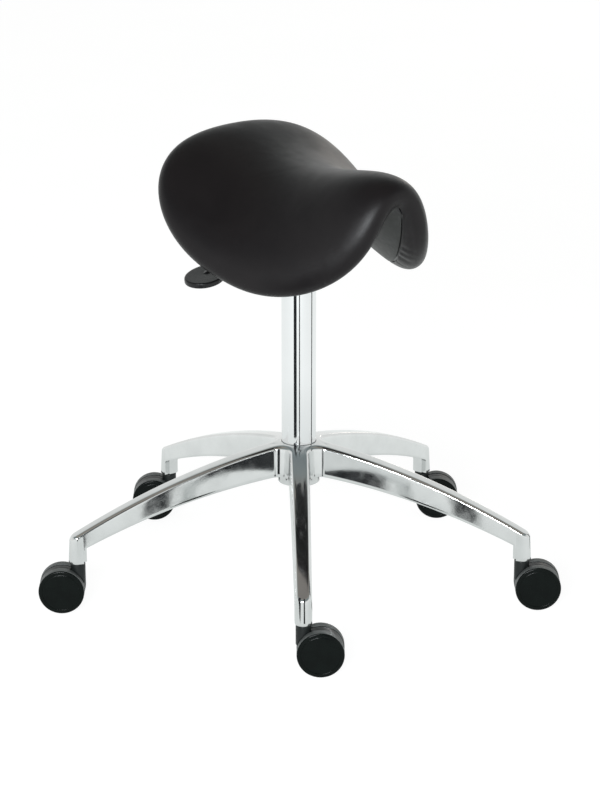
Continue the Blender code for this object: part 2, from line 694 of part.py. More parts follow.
def saddle_grid(outward, inward, closed_end=False):
    """A mesh over rings of points from functions of theta, which widen from one point and then narrow again.

    Each four-sided cell is split along the same diagonal, whichever way its rings run, so that the faces of
    neighbouring layers stay parallel. With closed_end the last ring is one point too.
    """
    rings = outward + inward
    thetas = saddle_thetas()
    points = []
    rows = []
    for index, ring in enumerate(rings):
        single = index == 0 or (closed_end and index == len(rings) - 1)
        row = [ring(t) for t in (thetas[:1] if single else thetas)]
        rows.append(range(len(points), len(points) + len(row)))
        points += row
    faces = []
    for band, (low, high) in enumerate(zip(rows[:-1], rows[1:])):
        for i in range(SADDLE_SIDES):
            j = (i + 1) % SADDLE_SIDES
            if len(low) == 1:
                faces.append((low[0], high[i], high[j]))
            elif len(high) == 1:
                faces.append((low[i], high[0], low[j]))
            elif band < len(outward):
                faces += [(low[i], high[i], high[j]), (low[i], high[j], low[j])]
            else:
                faces += [(low[i], high[i], low[j]), (high[i], high[j], low[j])]
    return points, faces


def pad_ring(saddle, rho, side, inset=0.0, lift=0.0):
    return lambda theta: saddle.point(rho, theta, side, inset, lift)


def cover_mesh(saddle):
    """The open skin of the cover: over the top, round the edge, and in over the rim underneath."""
    top = [pad_ring(saddle, rho, 1) for rho in TOP_RHOS]
    edge = [pad_ring(saddle, 1.0, 1)]
    under = [pad_ring(saddle, rho, -1) for rho in (0.98, 0.93, RIM_RHO + 0.06, RIM_RHO)]
    return mesh_of("seat_cover", *saddle_grid(top + edge, under))


def foam_mesh(saddle):
    """The foam: everything inside the cover, and hollowed underneath to take the shell."""
    top = [pad_ring(saddle, rho, 1, FOAM_INSET) for rho in TOP_RHOS]
    edge = [pad_ring(saddle, 1.0, 1, FOAM_INSET)]
    under = [pad_ring(saddle, rho, -1, FOAM_INSET) for rho in (0.98, 0.93)]
    lip = [pad_ring(saddle, SHELL_RHO + 0.014, -1, 0.0, FOAM_INSET)]
    over_shell = SHELL_LIFT + SHELL_T + FOAM_CLEARANCE
    roof_rhos = (SHELL_RHO + 0.014, *reversed(SHELL_RHOS[:-1]))
    roof = [pad_ring(saddle, rho, -1, 0.0, over_shell) for rho in roof_rhos]
    return mesh_of("seat_foam", *saddle_grid(top + edge, under + lip + roof, closed_end=True))


def layer_mesh(saddle, name, rhos, low, high):
    """A sheet between two depths above the pad's lower face, out to the last rho."""
    above = [pad_ring(saddle, rho, -1, 0.0, high) for rho in rhos]
    below = [pad_ring(saddle, rho, -1, 0.0, low) for rho in reversed(rhos)]
    return mesh_of(name, *saddle_grid(above, below, closed_end=True))


def build_seat(saddle, seat_axes, leather, foam, plastic, panel, steel):
    cover = place("seat_cover", cover_mesh(saddle), leather, seat_axes)
    skin = cover.modifiers.new("skin", "SOLIDIFY")
    skin.thickness = SKIN
    skin.offset = -1.0
    place("seat_foam", foam_mesh(saddle), foam, seat_axes)
    shell = layer_mesh(saddle, "seat_shell", SHELL_RHOS, SHELL_LIFT, SHELL_LIFT + SHELL_T)
    shell = place("seat_shell", shell, plastic, seat_axes)
    liner = layer_mesh(saddle, "seat_liner", LINER_RHOS, GAP, GAP + LINER_T)
    liner = place("seat_liner", liner, panel, seat_axes)
    for index, (u, v) in enumerate(SCREWS):
        floor_z = shell_floor(saddle, u, v, SHELL_LIFT)
        boss = cylinder("boss", 0.0100, PLATE_Z + PLATE_T + GAP, floor_z + 0.0045, MIDDLING)
        boolean(shell, cutter(f"shell_boss_{index}", boss, seat_axes, (u, v, 0)), "UNION")
        opening = cylinder("opening", 0.0106, PLATE_Z - 0.01, floor_z + 0.010, MIDDLING)
        boolean(liner, cutter(f"liner_hole_{index}", opening, seat_axes, (u, v, 0)), "DIFFERENCE")
        screw = [
            (0.0, PLATE_Z - GAP - 0.0030),
            (0.0035, PLATE_Z - GAP - 0.0030),
            (0.0055, PLATE_Z - GAP - 0.0018),
            (0.0055, PLATE_Z - GAP),
            (0.0028, PLATE_Z - GAP),
            (0.0028, floor_z + 0.0050),
            (0.0, floor_z + 0.0050),
        ]
        turned(f"plate_screw_{index + 1}", screw[::-1], steel, seat_axes, (u, v, 0), SMALL, closed=False)
        nut_low, nut_top = floor_z + 0.0005, floor_z + 0.0062
        nut = [
            (0.0078, nut_top),
            (0.0078, nut_top - 0.0014),
            (0.0044, nut_top - 0.0014),
            (0.0044, nut_low),
            (0.0032, nut_low),
            (0.0032, nut_top),
        ]
        turned(f"tee_nut_{index + 1}", nut, steel, seat_axes, (u, v, 0), SMALL)
        for radius, low, high in (
            (0.0049, PLATE_Z, floor_z + 0.02),
            (0.0085, nut_top - 0.0014 - GAP, floor_z + 0.02),
        ):
            bore = cylinder("bore", radius, low, high)
            tool = cutter(f"nut_bore_{index}_{round(radius * 1e4)}", bore, seat_axes, (u, v, 0))
            boolean(shell, tool, "DIFFERENCE")


def shell_floor(saddle, u, v, depth):
    """Height of the shell's lower face above a point of the seat's plan."""
    p, q = u - SEAT_U, v
    for _ in range(6):
        under = saddle.at(p, q) - saddle.normal(p, q) * (saddle.half_thickness(0.4, 0.0) - depth)
        p += u - under.x
        q += v - under.y
    return under.z


# ---- assembly ----
clear_scene()
parts = collection("saddle_stool")
cutters = collection("cutters")

polished = material("polished_aluminium", (0.80, 0.81, 0.80), 0.10, 1.0)
chrome = material("chrome", (0.82, 0.84, 0.84), 0.05, 1.0)
steel = material("steel", (0.55, 0.56, 0.57), 0.30, 1.0)
dark_steel = material("dark_steel", (0.03, 0.03, 0.032), 0.35, 0.8)
black_plastic = material("black_plastic", (0.012, 0.013, 0.013), 0.35)
caster_tread = material("caster_tread", (0.020, 0.022, 0.022), 0.45)
rubber = material("buffer_rubber", (0.02, 0.02, 0.02), 0.8)
leather = material("black_leather", (0.016, 0.016, 0.018), 0.42)
foam = material("seat_foam", (0.60, 0.58, 0.48), 0.95)
panel = material("under_panel", (0.034, 0.035, 0.034), 0.47)
plate_paint = material("plate_paint", (0.015, 0.015, 0.015), 0.5, 0.2)

seat_frame = empty("seat_axes", yaw=SEAT_YAW)
lever_frame = empty("lever_axes", yaw=LEVER_YAW)

build_base(polished)
build_column(chrome, steel, dark_steel, black_plastic, rubber)
build_gas_spring(dark_steel, steel, black_plastic)
for arm, (caster, sign) in enumerate(zip(CASTER_NAMES, TRAIL_SIGN)):
    build_caster(caster, arm, sign, black_plastic, caster_tread, steel)
build_mechanism(seat_frame, lever_frame, plate_paint, steel)
build_lever(lever_frame, steel, black_plastic)
build_seat(Saddle(), seat_frame, leather, foam, black_plastic, panel, steel)
bpy.context.view_layer.update()
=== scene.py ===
"""The looks of the saddle stool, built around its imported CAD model. Metres, +Z up, column on the Z axis."""

import json
import math

import bmesh
import bpy
import numpy as np
from mathutils import Matrix, Vector


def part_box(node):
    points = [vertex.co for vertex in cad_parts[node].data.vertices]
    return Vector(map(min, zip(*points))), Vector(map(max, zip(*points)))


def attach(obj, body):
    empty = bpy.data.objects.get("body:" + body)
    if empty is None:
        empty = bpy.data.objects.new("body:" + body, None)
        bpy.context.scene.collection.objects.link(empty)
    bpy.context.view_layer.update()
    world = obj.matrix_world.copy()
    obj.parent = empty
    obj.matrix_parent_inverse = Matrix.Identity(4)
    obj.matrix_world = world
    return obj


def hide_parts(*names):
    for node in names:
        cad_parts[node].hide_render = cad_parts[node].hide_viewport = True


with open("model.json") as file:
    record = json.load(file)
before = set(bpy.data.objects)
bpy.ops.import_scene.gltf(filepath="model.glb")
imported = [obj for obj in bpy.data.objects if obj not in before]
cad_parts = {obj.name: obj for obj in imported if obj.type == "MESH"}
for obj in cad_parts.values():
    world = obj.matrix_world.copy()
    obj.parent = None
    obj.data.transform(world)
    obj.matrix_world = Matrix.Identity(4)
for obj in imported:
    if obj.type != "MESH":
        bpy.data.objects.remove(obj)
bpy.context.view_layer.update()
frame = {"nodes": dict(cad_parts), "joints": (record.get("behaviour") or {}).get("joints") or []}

CASTERS = ("near", "right_front", "right_rear", "left_rear", "left_front")
JOINTS = {j["name"]: j for j in frame["joints"]}
scene = bpy.context.scene

# ---- the base's dimensions ----
ARMS = 5
ARM_END_R = 0.3475
ARM_HALF_W_HUB, ARM_HALF_W_END = 0.0135, 0.0103
ARM_TOP = ((0.030, 0.2190), (0.186, 0.1795), (0.339, 0.1150))
ARM_UNDER = ((0.046, 0.1710), (0.193, 0.1426), (0.325, 0.0965))
FILLET_R, FILLET_END_R = 0.020, 0.046
ARM_WALL, ARM_ROOF = 0.0032, 0.0050
CHANNEL_FROM, CHANNEL_TO = 0.066, 0.316
BOSS_Z, BOSS_IN_R, BOSS_RIB_IN_R, BOSS_RIB_HALF_W = 0.0725, 0.3300, 0.3245, 0.0070
HUB_Z, HUB_RING_R = 0.158, 0.0305
BORE_R = 0.0253
ARM_DRAFT = 0.0018  # how much wider the arms' sides stand at the bottom
ARM_BEVEL = (  # inset and drop from the side up to the flat of the arms' tops
    (0.0, 0.0040),
    (0.0001, 0.0031),
    (0.0005, 0.0024),
    (0.0011, 0.0017),
    (0.0018, 0.0010),
    (0.0024, 0.0004),
    (0.0031, 0.0001),
    (0.0040, 0.0),
)

# ---- the seat's dimensions ----
SEAT_YAW = -50.4
SEAT_Z, SEAT_U = 0.604, 0.026
PAD_HALF_LONG, PAD_HALF_WIDE, PAD_T = 0.195, 0.195, 0.063
OUTLINE_POWER, OUTLINE_TAPER = 2.685, -0.095
RISE_AT = (-1.0, -0.35, 0.35, 1.0)
RISE = (-29.6, -11.8, 9.2, 0.6)
DROOP_TAIL, DROOP_POMMEL = 3.7, 73.5
CREST_TAIL, CREST_POMMEL = 0.094, 0.032
DROOP_POWER = 0.814
EDGE_POWER, EDGE_ROUND = 5.2, 2.2
PANEL_RHO, TUCK_RHO = 0.7955, 0.800
SEAM_LONG, SEAM_WIDE, SEAM_POWER = 0.935, 0.90, 2.2
SCREWS = ((0.034, 0.022), (0.034, -0.022), (-0.085, 0.042), (-0.085, -0.042))
PLATE_Z = 0.553


# ---- materials ----
def material(name, colour, roughness, metallic=0.0, **sockets):
    made = bpy.data.materials.new(name)
    made.use_nodes = True
    shader = made.node_tree.nodes["Principled BSDF"]
    shader.inputs["Base Color"].default_value = (*colour, 1.0)
    shader.inputs["Roughness"].default_value = roughness
    shader.inputs["Metallic"].default_value = metallic
    for socket, value in sockets.items():
        shader.inputs[socket.replace("_", " ")].default_value = value
    return made


def node(mat, kind, **settings):
    made = mat.node_tree.nodes.new(kind)
    for key, value in settings.items():
        setattr(made, key, value)
    return made


def link(mat, a, b):
    mat.node_tree.links.new(a, b)


def coordinates(mat, stretch=(1, 1, 1)):
    """The piece's own coordinates, in metres, stretched along each axis."""
    where = node(mat, "ShaderNodeTexCoord")
    scale = node(mat, "ShaderNodeMapping")
    scale.inputs["Scale"].default_value = stretch
    link(mat, where.outputs["Object"], scale.inputs["Vector"])
    return scale.outputs["Vector"]


def noise(mat, where, scale, detail=3.0):
    made = node(mat, "ShaderNodeTexNoise")
    made.inputs["Scale"].default_value = scale
    made.inputs["Detail"].default_value = detail
    made.inputs["Roughness"].default_value = 0.55
    link(mat, where, made.inputs["Vector"])
    return made.outputs["Fac"]


def cells(mat, where, scale):
    made = node(mat, "ShaderNodeTexVoronoi", feature="DISTANCE_TO_EDGE")
    made.inputs["Scale"].default_value = scale
    link(mat, where, made.inputs["Vector"])
    return made.outputs["Distance"]


def spread(mat, value, low, high, from_low=0.3, from_high=0.7):
    made = node(mat, "ShaderNodeMapRange")
    made.inputs["From Min"].default_value = from_low
    made.inputs["From Max"].default_value = from_high
    made.inputs["To Min"].default_value = low
    made.inputs["To Max"].default_value = high
    link(mat, value, made.inputs["Value"])
    return made.outputs["Result"]


def vary_roughness(mat, value, low, high):
    shader = mat.node_tree.nodes["Principled BSDF"]
    link(mat, spread(mat, value, low, high), shader.inputs["Roughness"])


def vary_colour(mat, value, dark, light):
    mix = node(mat, "ShaderNodeMix", data_type="RGBA")
    mix.inputs["A"].default_value = (*dark, 1.0)
    mix.inputs["B"].default_value = (*light, 1.0)
    link(mat, spread(mat, value, 0.0, 1.0), mix.inputs["Factor"])
    link(mat, mix.outputs["Result"], mat.node_tree.nodes["Principled BSDF"].inputs["Base Color"])


def bump(mat, *layers):
    """Bumps from (height, depth in metres) layers, one on top of the other."""
    last = None
    for height, depth in layers:
        made = node(mat, "ShaderNodeBump")
        made.inputs["Strength"].default_value = 1.0
        made.inputs["Distance"].default_value = depth
        link(mat, height, made.inputs["Height"])
        if last is not None:
            link(mat, last, made.inputs["Normal"])
        last = made.outputs["Normal"]
    link(mat, last, mat.node_tree.nodes["Principled BSDF"].inputs["Normal"])


def polished_aluminium():
    mat = material("polished_aluminium", (0.78, 0.79, 0.79), 0.10, 1.0)
    where = coordinates(mat)
    vary_roughness(mat, noise(mat, where, 60, 4), 0.06, 0.13)
    vary_colour(mat, noise(mat, where, 25, 3), (0.74, 0.75, 0.75), (0.81, 0.82, 0.82))
    bump(mat, (noise(mat, where, 45, 2), 0.00003), (noise(mat, where, 1500, 2), 0.000003))
    return mat


def chrome():
    mat = material("chrome", (0.88, 0.89, 0.90), 0.05, 1.0)
    where = coordinates(mat)
    vary_roughness(mat, noise(mat, where, 35, 4), 0.03, 0.07)
    vary_colour(mat, noise(mat, where, 14, 2), (0.86, 0.87, 0.88), (0.90, 0.91, 0.92))
    bump(mat, (noise(mat, coordinates(mat, (1, 1, 0.1)), 260, 2), 0.000004))
    return mat


def zinc():
    mat = material("zinc_plated_steel", (0.62, 0.63, 0.64), 0.30, 1.0)
    where = coordinates(mat)
    vary_roughness(mat, noise(mat, where, 300, 3), 0.22, 0.42)
    vary_colour(mat, noise(mat, where, 120, 3), (0.52, 0.53, 0.53), (0.68, 0.68, 0.66))
    bump(mat, (noise(mat, where, 1400, 2), 0.00001))
    return mat


def black_steel():
    mat = material("black_painted_steel", (0.020, 0.020, 0.021), 0.38)
    where = coordinates(mat)
    vary_roughness(mat, noise(mat, where, 150, 3), 0.32, 0.46)
    vary_colour(mat, noise(mat, where, 40, 3), (0.016, 0.016, 0.017), (0.026, 0.026, 0.027))
    bump(mat, (noise(mat, where, 700, 2), 0.00003))
    return mat


def leather():
    mat = material("black_leather", (0.007, 0.0068, 0.0068), 0.40, Specular_IOR_Level=0.20)
    where = coordinates(mat)
    vary_roughness(mat, noise(mat, where, 40, 4), 0.32, 0.38)
    vary_colour(mat, noise(mat, where, 9, 3), (0.0060, 0.0051, 0.0058), (0.0092, 0.0078, 0.0084))
    grain = spread(mat, cells(mat, where, 900), 0.0, 1.0, 0.0, 0.25)
    pores = noise(mat, where, 2600, 2)
    swell = noise(mat, where, 28, 2)
    bump(mat, (swell, 0.0006), (grain, 0.000035), (pores, 0.00002))
    return mat


def moulded_black(name, colour, low, high, grain=0.00002, gloss=0.5):
    mat = material(name, colour, (low + high) / 2, Specular_IOR_Level=gloss)
    where = coordinates(mat)
    dark = tuple(c * 0.85 for c in colour)
    light = tuple(c * 1.25 for c in colour)
    vary_roughness(mat, noise(mat, where, 180, 4), low, high)
    vary_colour(mat, noise(mat, where, 70, 3), dark, light)
    bump(mat, (noise(mat, where, 2200, 2), grain))
    return mat


def tread():
    mat = material("caster_tread", (0.055, 0.060, 0.060), 0.45)
    where = coordinates(mat)
    vary_roughness(mat, noise(mat, where, 240, 4), 0.38, 0.60)
    streaks = noise(mat, coordinates(mat, (1, 5, 1)), 60, 4)
    vary_colour(mat, streaks, (0.062, 0.068, 0.067), (0.105, 0.112, 0.110))
    bump(mat, (noise(mat, where, 900, 3), 0.00003))
    return mat


def floor_white():
    """A white sweep that the metal mirrors a little greyer, with a painted shadow that darkens its reflection
    close to the stool.
    """
    mat = material("white_floor", (0.20, 0.20, 0.20), 0.6, Specular_IOR_Level=0.0)
    where = coordinates(mat)
    vary_colour(mat, noise(mat, where, 3, 2), (0.195, 0.195, 0.195), (0.205, 0.205, 0.205))
    reach = node(mat, "ShaderNodeVectorMath", operation="LENGTH")
    link(mat, where, reach.inputs[0])
    # Painted shadow and painted reflection: reflections see the floor greyer than the camera does, and darker
    # still near the stool.
    reflected_floor_with_painted_shadow = node(mat, "ShaderNodeMix", data_type="RGBA")
    reflected_floor_with_painted_shadow.inputs["A"].default_value = (0.62, 0.65, 0.64, 1.0)
    reflected_floor_with_painted_shadow.inputs["B"].default_value = (0.80, 0.825, 0.815, 1.0)
    link(mat, spread(mat, reach.outputs["Value"], 0.0, 1.0, 0.45, 0.95), reflected_floor_with_painted_shadow.inputs["Factor"])
    seen = node(mat, "ShaderNodeMix", data_type="RGBA")
    seen.inputs["A"].default_value = (0.90, 0.90, 0.90, 1.0)
    link(mat, reflected_floor_with_painted_shadow.outputs["Result"], seen.inputs["B"])
    link(mat, node(mat, "ShaderNodeLightPath").outputs["Is Glossy Ray"], seen.inputs["Factor"])
    shader = mat.node_tree.nodes["Principled BSDF"]
    link(mat, seen.outputs["Result"], shader.inputs["Emission Color"])
    shader.inputs["Emission Strength"].default_value = 1.0
    return mat


ALUMINIUM = polished_aluminium()
CHROME = chrome()
ZINC = zinc()
BLACK_STEEL = black_steel()
LEATHER = leather()
PLASTIC = moulded_black("black_plastic", (0.007, 0.007, 0.0075), 0.26, 0.36, 0.00002, 0.3)
DISC = moulded_black("caster_disc", (0.0022, 0.0036, 0.0032), 0.16, 0.24, 0.00001, 0.12)
HOOD = moulded_black("caster_hood", (0.007, 0.009, 0.009), 0.30, 0.42, 0.00002, 0.3)
PANEL = moulded_black("under_panel", (0.024, 0.025, 0.024), 0.40, 0.50, 0.00004, 0.25)
TREAD = tread()
RUBBER = moulded_black("rubber", (0.02, 0.02, 0.02), 0.7, 0.85, 0.00005)


# ---- mesh helpers ----
CORNER_STEPS = 4


def finish_mesh(name, points, faces, mats, sharp=32.0):
    mesh = bpy.data.meshes.new(name)
    mesh.from_pydata([tuple(map(float, p)) for p in points], [], faces)
    mesh.validate()
    work = bmesh.new()
    work.from_mesh(mesh)
    bmesh.ops.recalc_face_normals(work, faces=work.faces)
    work.to_mesh(mesh)
    work.free()
    for mat in mats if isinstance(mats, (list, tuple)) else [mats]:
        mesh.materials.append(mat)
    mesh.shade_smooth()
    mesh.set_sharp_from_angle(angle=math.radians(sharp))
    return mesh


def piece(name, mesh, body, replaced=(), where=None):
    made = bpy.data.objects.new(name, mesh)
    if where is not None:
        made.matrix_world = where
    scene.collection.objects.link(made)
    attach(made, body)
    if replaced:
        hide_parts(*replaced)
    return made


def soften(profile, radius, closed=False):
    """Rounds the corners of a profile of (radius, height), or of (radius, height, corner radius) points."""
    made = []
    count = len(profile)
    for i, spot in enumerate(profile):
        here = np.array(spot[:2], float)
        own = spot[2] if len(spot) > 2 else radius
        if not closed and i in (0, count - 1) or own == 0:
            made.append(tuple(here))
            continue
        back = np.array(profile[(i - 1) % count][:2], float) - here
        ahead = np.array(profile[(i + 1) % count][:2], float) - here
        reach_back, reach_ahead = np.linalg.norm(back), np.linalg.norm(ahead)
        reach = min(own, reach_back * 0.48, reach_ahead * 0.48)
        start = here + back / reach_back * reach
        end = here + ahead / reach_ahead * reach
        for step in range(CORNER_STEPS + 1):
            t = step / CORNER_STEPS
            made.append(tuple((1 - t) ** 2 * start + 2 * t * (1 - t) * here + t**2 * end))
    return made


def lathe(profile, sides=64, closed=True):
    """Points and faces of a profile of (radius, height) turned about Z; zero radius makes a pole."""
    points, rows = [], []
    for r, z in profile:
        if r < 1e-7:
            rows.append([len(points)] * sides)
            points.append((0.0, 0.0, z))
            continue
        rows.append(list(range(len(points), len(points) + sides)))
        for i in range(sides):
            turn = 2 * math.pi * i / sides
            points.append((r * math.cos(turn), r * math.sin(turn), z))
    faces = []
    pairs = list(zip(rows[:-1], rows[1:]))
    if closed:
        pairs.append((rows[-1], rows[0]))
    for low, high in pairs:
        for i in range(sides):
            j = (i + 1) % sides
            ring = [low[i], low[j], high[j], high[i]]
            face = [v for k, v in enumerate(ring) if v != ring[k - 1]]
            if len(set(face)) >= 3:
                faces.append(face)
    return points, faces


def drum(radius, start, end, sides, corner=0.0):
    """A closed cylinder about Z from one height to the other, with rounded rims."""
    profile = [(0.0, start), (radius, start), (radius, end), (0.0, end)]
    return lathe(soften(profile, corner), sides, closed=False)


def turned(name, profile, mats, sides=64, closed=True):
    return finish_mesh(name, *lathe(profile, sides, closed), mats)


def along_y(points):
    """Turns points made about Z so that Z becomes -Y."""
    return [(x, -z, y) for x, y, z in points]


def swept(path, radius, sides=20):
    """A round bar along a smooth path, with domed ends."""
    path = [Vector(p) for p in path]
    points, faces = [], []
    side = Vector((0, 1, 0))
    rings = []
    for i, spot in enumerate(path):
        ahead = (path[min(i + 1, len(path) - 1)] - path[max(i - 1, 0)]).normalized()
        side = (side - ahead * side.dot(ahead)).normalized()
        up = ahead.cross(side)
        scales = [(0.0, 1.0)]
        if i == 0:
            scales = [(-1.0, 0.05), (-0.8, 0.6), (-0.45, 0.89), (0.0, 1.0)]
        if i == len(path) - 1:
            scales = [(0.0, 1.0), (0.45, 0.89), (0.8, 0.6), (1.0, 0.05)]
        for shift, scale in scales:
            rings.append((spot + ahead * shift * radius, side, up, radius * scale))
    for centre, side_way, up, r in rings:
        for k in range(sides):
            turn = 2 * math.pi * k / sides
            points.append(centre + side_way * r * math.cos(turn) + up * r * math.sin(turn))
    for level in range(len(rings) - 1):
        for k in range(sides):
            a, b = level * sides + k, level * sides + (k + 1) % sides
            faces.append((a, b, b + sides, a + sides))
    faces.append(tuple(range(sides))[::-1])
    last = (len(rings) - 1) * sides
    faces.append(tuple(range(last, last + sides)))
    return points, faces


def block(low, high):
    """Points and faces of a box."""
    corners = ((low[0], low[1]), (high[0], low[1]), (high[0], high[1]), (low[0], high[1]))
    points = [(x, y, z) for z in (low[2], high[2]) for x, y in corners]
    faces = [(3, 2, 1, 0), (4, 5, 6, 7), (0, 1, 5, 4), (1, 2, 6, 5), (2, 3, 7, 6), (3, 0, 4, 7)]
    return points, faces


def together(*shapes):
    """Several (points, faces) as one."""
    points, faces = [], []
    for more_points, more_faces in shapes:
        shift = len(points)
        points += [tuple(p) for p in more_points]
        faces += [tuple(v + shift for v in face) for face in more_faces]
    return points, faces


def moved(shape, matrix):
    points, faces = shape
    return [tuple(matrix @ Vector(p)) for p in points], faces


def carved(mesh, *steps, sharp=32.0, mats=None):
    """The mesh with closed (operation, points, faces) tools joined to it or cut from it."""
    body = bpy.data.objects.new("carving", mesh)
    scene.collection.objects.link(body)
    tools = []
    for index, (operation, shape) in enumerate(steps):
        tool_mesh = finish_mesh(f"tool_{index}", *shape, mats or list(mesh.materials), sharp)
        tool = bpy.data.objects.new(f"tool_{index}", tool_mesh)
        scene.collection.objects.link(tool)
        tools.append(tool)
        step = body.modifiers.new(operation.lower(), "BOOLEAN")
        step.operation = operation
        step.solver = "EXACT"
        step.use_self = True
        step.object = tool
    bpy.context.view_layer.update()
    graph = bpy.context.evaluated_depsgraph_get()
    made = bpy.data.meshes.new_from_object(body.evaluated_get(graph))
    for used in [body, *tools]:
        bpy.data.objects.remove(used, do_unlink=True)
    made.shade_smooth()
    made.set_sharp_from_angle(angle=math.radians(sharp))
    return made


def arc_through(points):
    radii, heights = zip(*points)
    return np.poly1d(np.polyfit(radii, heights, 2))


def smoothstep(low, high, value):
    t = min(max((value - low) / (high - low), 0.0), 1.0)
    return t * t * (3 - 2 * t)


# ---- the base casting ----
arm_top = arc_through(ARM_TOP)
arm_under = arc_through(ARM_UNDER)
END_CENTRE_R = ARM_END_R - ARM_HALF_W_END
UNDER_FILLET = 0.0050


def half_width(r):
    share = (r - FILLET_END_R) / (END_CENTRE_R - FILLET_END_R)
    return ARM_HALF_W_HUB + (ARM_HALF_W_END - ARM_HALF_W_HUB) * share


FILLET_STEPS, TIP_STEPS = 14, 12
ARM_STATIONS = [
    *np.linspace(FILLET_END_R, BOSS_IN_R - UNDER_FILLET, 44)[1:],
    *(BOSS_IN_R - UNDER_FILLET * (1 - math.sin(math.radians(a))) for a in (20, 38, 54, 68, 80)),
    BOSS_IN_R,
    BOSS_IN_R + 0.00004,
    (BOSS_IN_R + END_CENTRE_R) / 2,
]
FIRST_BOSS = FILLET_STEPS + 1 + len(ARM_STATIONS) - 2


def arm_side(inset):
    """One side of an arm seen from above, from the web's middle to just short of the tip, moved inwards."""
    half_turn = math.pi / ARMS
    points = []
    for step in range(FILLET_STEPS + 1):
        turn = -(math.pi / 2) - (math.pi / 2 - half_turn) * (1 - step / FILLET_STEPS)
        reach = FILLET_R + inset
        y = ARM_HALF_W_HUB + FILLET_R + reach * math.sin(turn)
        points.append((FILLET_END_R + reach * math.cos(turn), y))
    for r in ARM_STATIONS:
        points.append((r, half_width(r) - inset))
    for step in range(TIP_STEPS):
        turn = math.pi / 2 * (1 - step / TIP_STEPS)
        radius = ARM_HALF_W_END - inset
        points.append((END_CENTRE_R + radius * math.cos(turn), radius * math.sin(turn)))
    return points


def top_height(x, y):
    r = math.hypot(x, y)
    share = smoothstep(0.036, 0.066, r)
    return float(arm_top(x * share + r * (1 - share)))


def under_height(index, x):
    if index >= FIRST_BOSS:
        return BOSS_Z
    start = BOSS_IN_R - UNDER_FILLET
    drop = 0.0
    if x > start:
        drop = UNDER_FILLET - math.sqrt(max(UNDER_FILLET**2 - (x - start) ** 2, 0.0))
    return float(arm_under(x)) - drop


def star_mesh():
    """The arms and webs as one skin: rings round the whole outline, from the underside over the top."""
    rings = [
        (0.0007 - ARM_DRAFT, "low", 0.0),
        (0.0002 - ARM_DRAFT, "low", 0.0003),
        (-ARM_DRAFT, "low", 0.0010),
    ]
    rings += [(-ARM_DRAFT * (1 - share), "side", share) for share in (0.12, 0.3, 0.5, 0.7, 0.88)]
    rings += [(inset, "top", drop) for inset, drop in ARM_BEVEL]
    rings += [(0.0062, "top", -0.00012), (0.0088, "top", -0.00018)]
    count = len(arm_side(0.0))
    one = 2 * count
    around = one * ARMS
    points, faces = [], []
    base = arm_side(0.0)
    for inset, kind, amount in rings:
        half = []
        tip = (ARM_END_R - inset, 0.0)
        for i, (x, y) in enumerate([*arm_side(inset), tip]):
            above = base[i] if i < count else (ARM_END_R, 0.0)
            bottom = under_height(i, above[0])
            side_foot = bottom + 0.0010
            side_top = top_height(*above) - 0.0040
            if kind == "low":
                z = bottom + amount
            elif kind == "side":
                z = side_foot + (side_top - side_foot) * amount
            else:
                z = top_height(x, y) - amount
            half.append((x, y, z))
        loop = [(x, -y, z) for x, y, z in half[:-1]] + half[:0:-1]
        for arm in range(ARMS):
            spin = Matrix.Rotation(2 * math.pi * arm / ARMS, 3, "Z")
            points += [spin @ Vector(p) for p in loop]
    for level in range(len(rings) - 1):
        for i in range(around):
            j = (i + 1) % around
            a, b = level * around, (level + 1) * around
            faces.append((a + i, a + j, b + j, b + i))
    for level, flip in ((0, True), (len(rings) - 1, False)):
        start_level = level * around
        for arm in range(ARMS):
            start = start_level + arm * one
            for i in range(FILLET_STEPS, count - 1):
                a, b = start + i, start + i + 1
                c, d = start + 2 * count - i - 1, start + 2 * count - i
                face = (a, b, c, d)
                faces.append(face[::-1] if flip else face)
            tip = (start + count - 1, start + count, start + count + 1)
            faces.append(tip[::-1] if flip else tip)
    # The hub: strips from the top, down the bore, round the lower ring and out to the webs' undersides.
    boundary = []
    for arm in range(ARMS):
        start = arm * one
        boundary += [start + i for i in range(FILLET_STEPS + 1)]
        boundary += [start + 2 * count - i for i in range(FILLET_STEPS, 0, -1)]
    top_shift = (len(rings) - 1) * around
    strips = []
    for b in boundary:
        top = points[b + top_shift]
        turn = math.atan2(top.y, top.x)
        way = Vector((math.cos(turn), math.sin(turn), 0))
        outer = math.hypot(top.x, top.y)
        lip = hub_height(BORE_R + 0.0010, turn)
        foot = float(arm_under(FILLET_END_R)) + 0.0006
        profile = []
        for share in (0.35, 0.7):
            r = outer + (BORE_R + 0.0010 - outer) * share
            profile.append((r, hub_height(r, turn)))
        profile += [
            (BORE_R + 0.0010, lip),
            (BORE_R + 0.0003, lip - 0.0003),
            (BORE_R, lip - 0.0012),
            (BORE_R, HUB_Z + 0.0006),
            (BORE_R + 0.0006, HUB_Z),
            (HUB_RING_R - 0.0010, HUB_Z),
            (HUB_RING_R - 0.0003, HUB_Z + 0.0003),
            (HUB_RING_R, HUB_Z + 0.0010),
            (HUB_RING_R, foot - 0.0012),
            (HUB_RING_R + 0.0012, foot),
        ]
        strip = [way * r + Vector((0, 0, z)) for r, z in profile]
        strips.append(strip)
    depth = len(strips[0])
    first = len(points)
    for strip in strips:
        points += strip
    n = len(boundary)
    for k in range(n):
        m = (k + 1) % n
        rows_k = [boundary[k] + top_shift, *range(first + k * depth, first + (k + 1) * depth), boundary[k]]
        rows_m = [boundary[m] + top_shift, *range(first + m * depth, first + (m + 1) * depth), boundary[m]]
        for a, b, c, d in zip(rows_k[:-1], rows_m[:-1], rows_m[1:], rows_k[1:]):
            faces.append((a, b, c, d))
    return points, faces


def hub_height(r, turn):
    """Height of the hub's top near the bore, where it is round."""
    sector = 2 * math.pi / ARMS
    local = (turn + sector / 2) % sector - sector / 2
    return top_height(r * math.cos(local), r * math.sin(local))


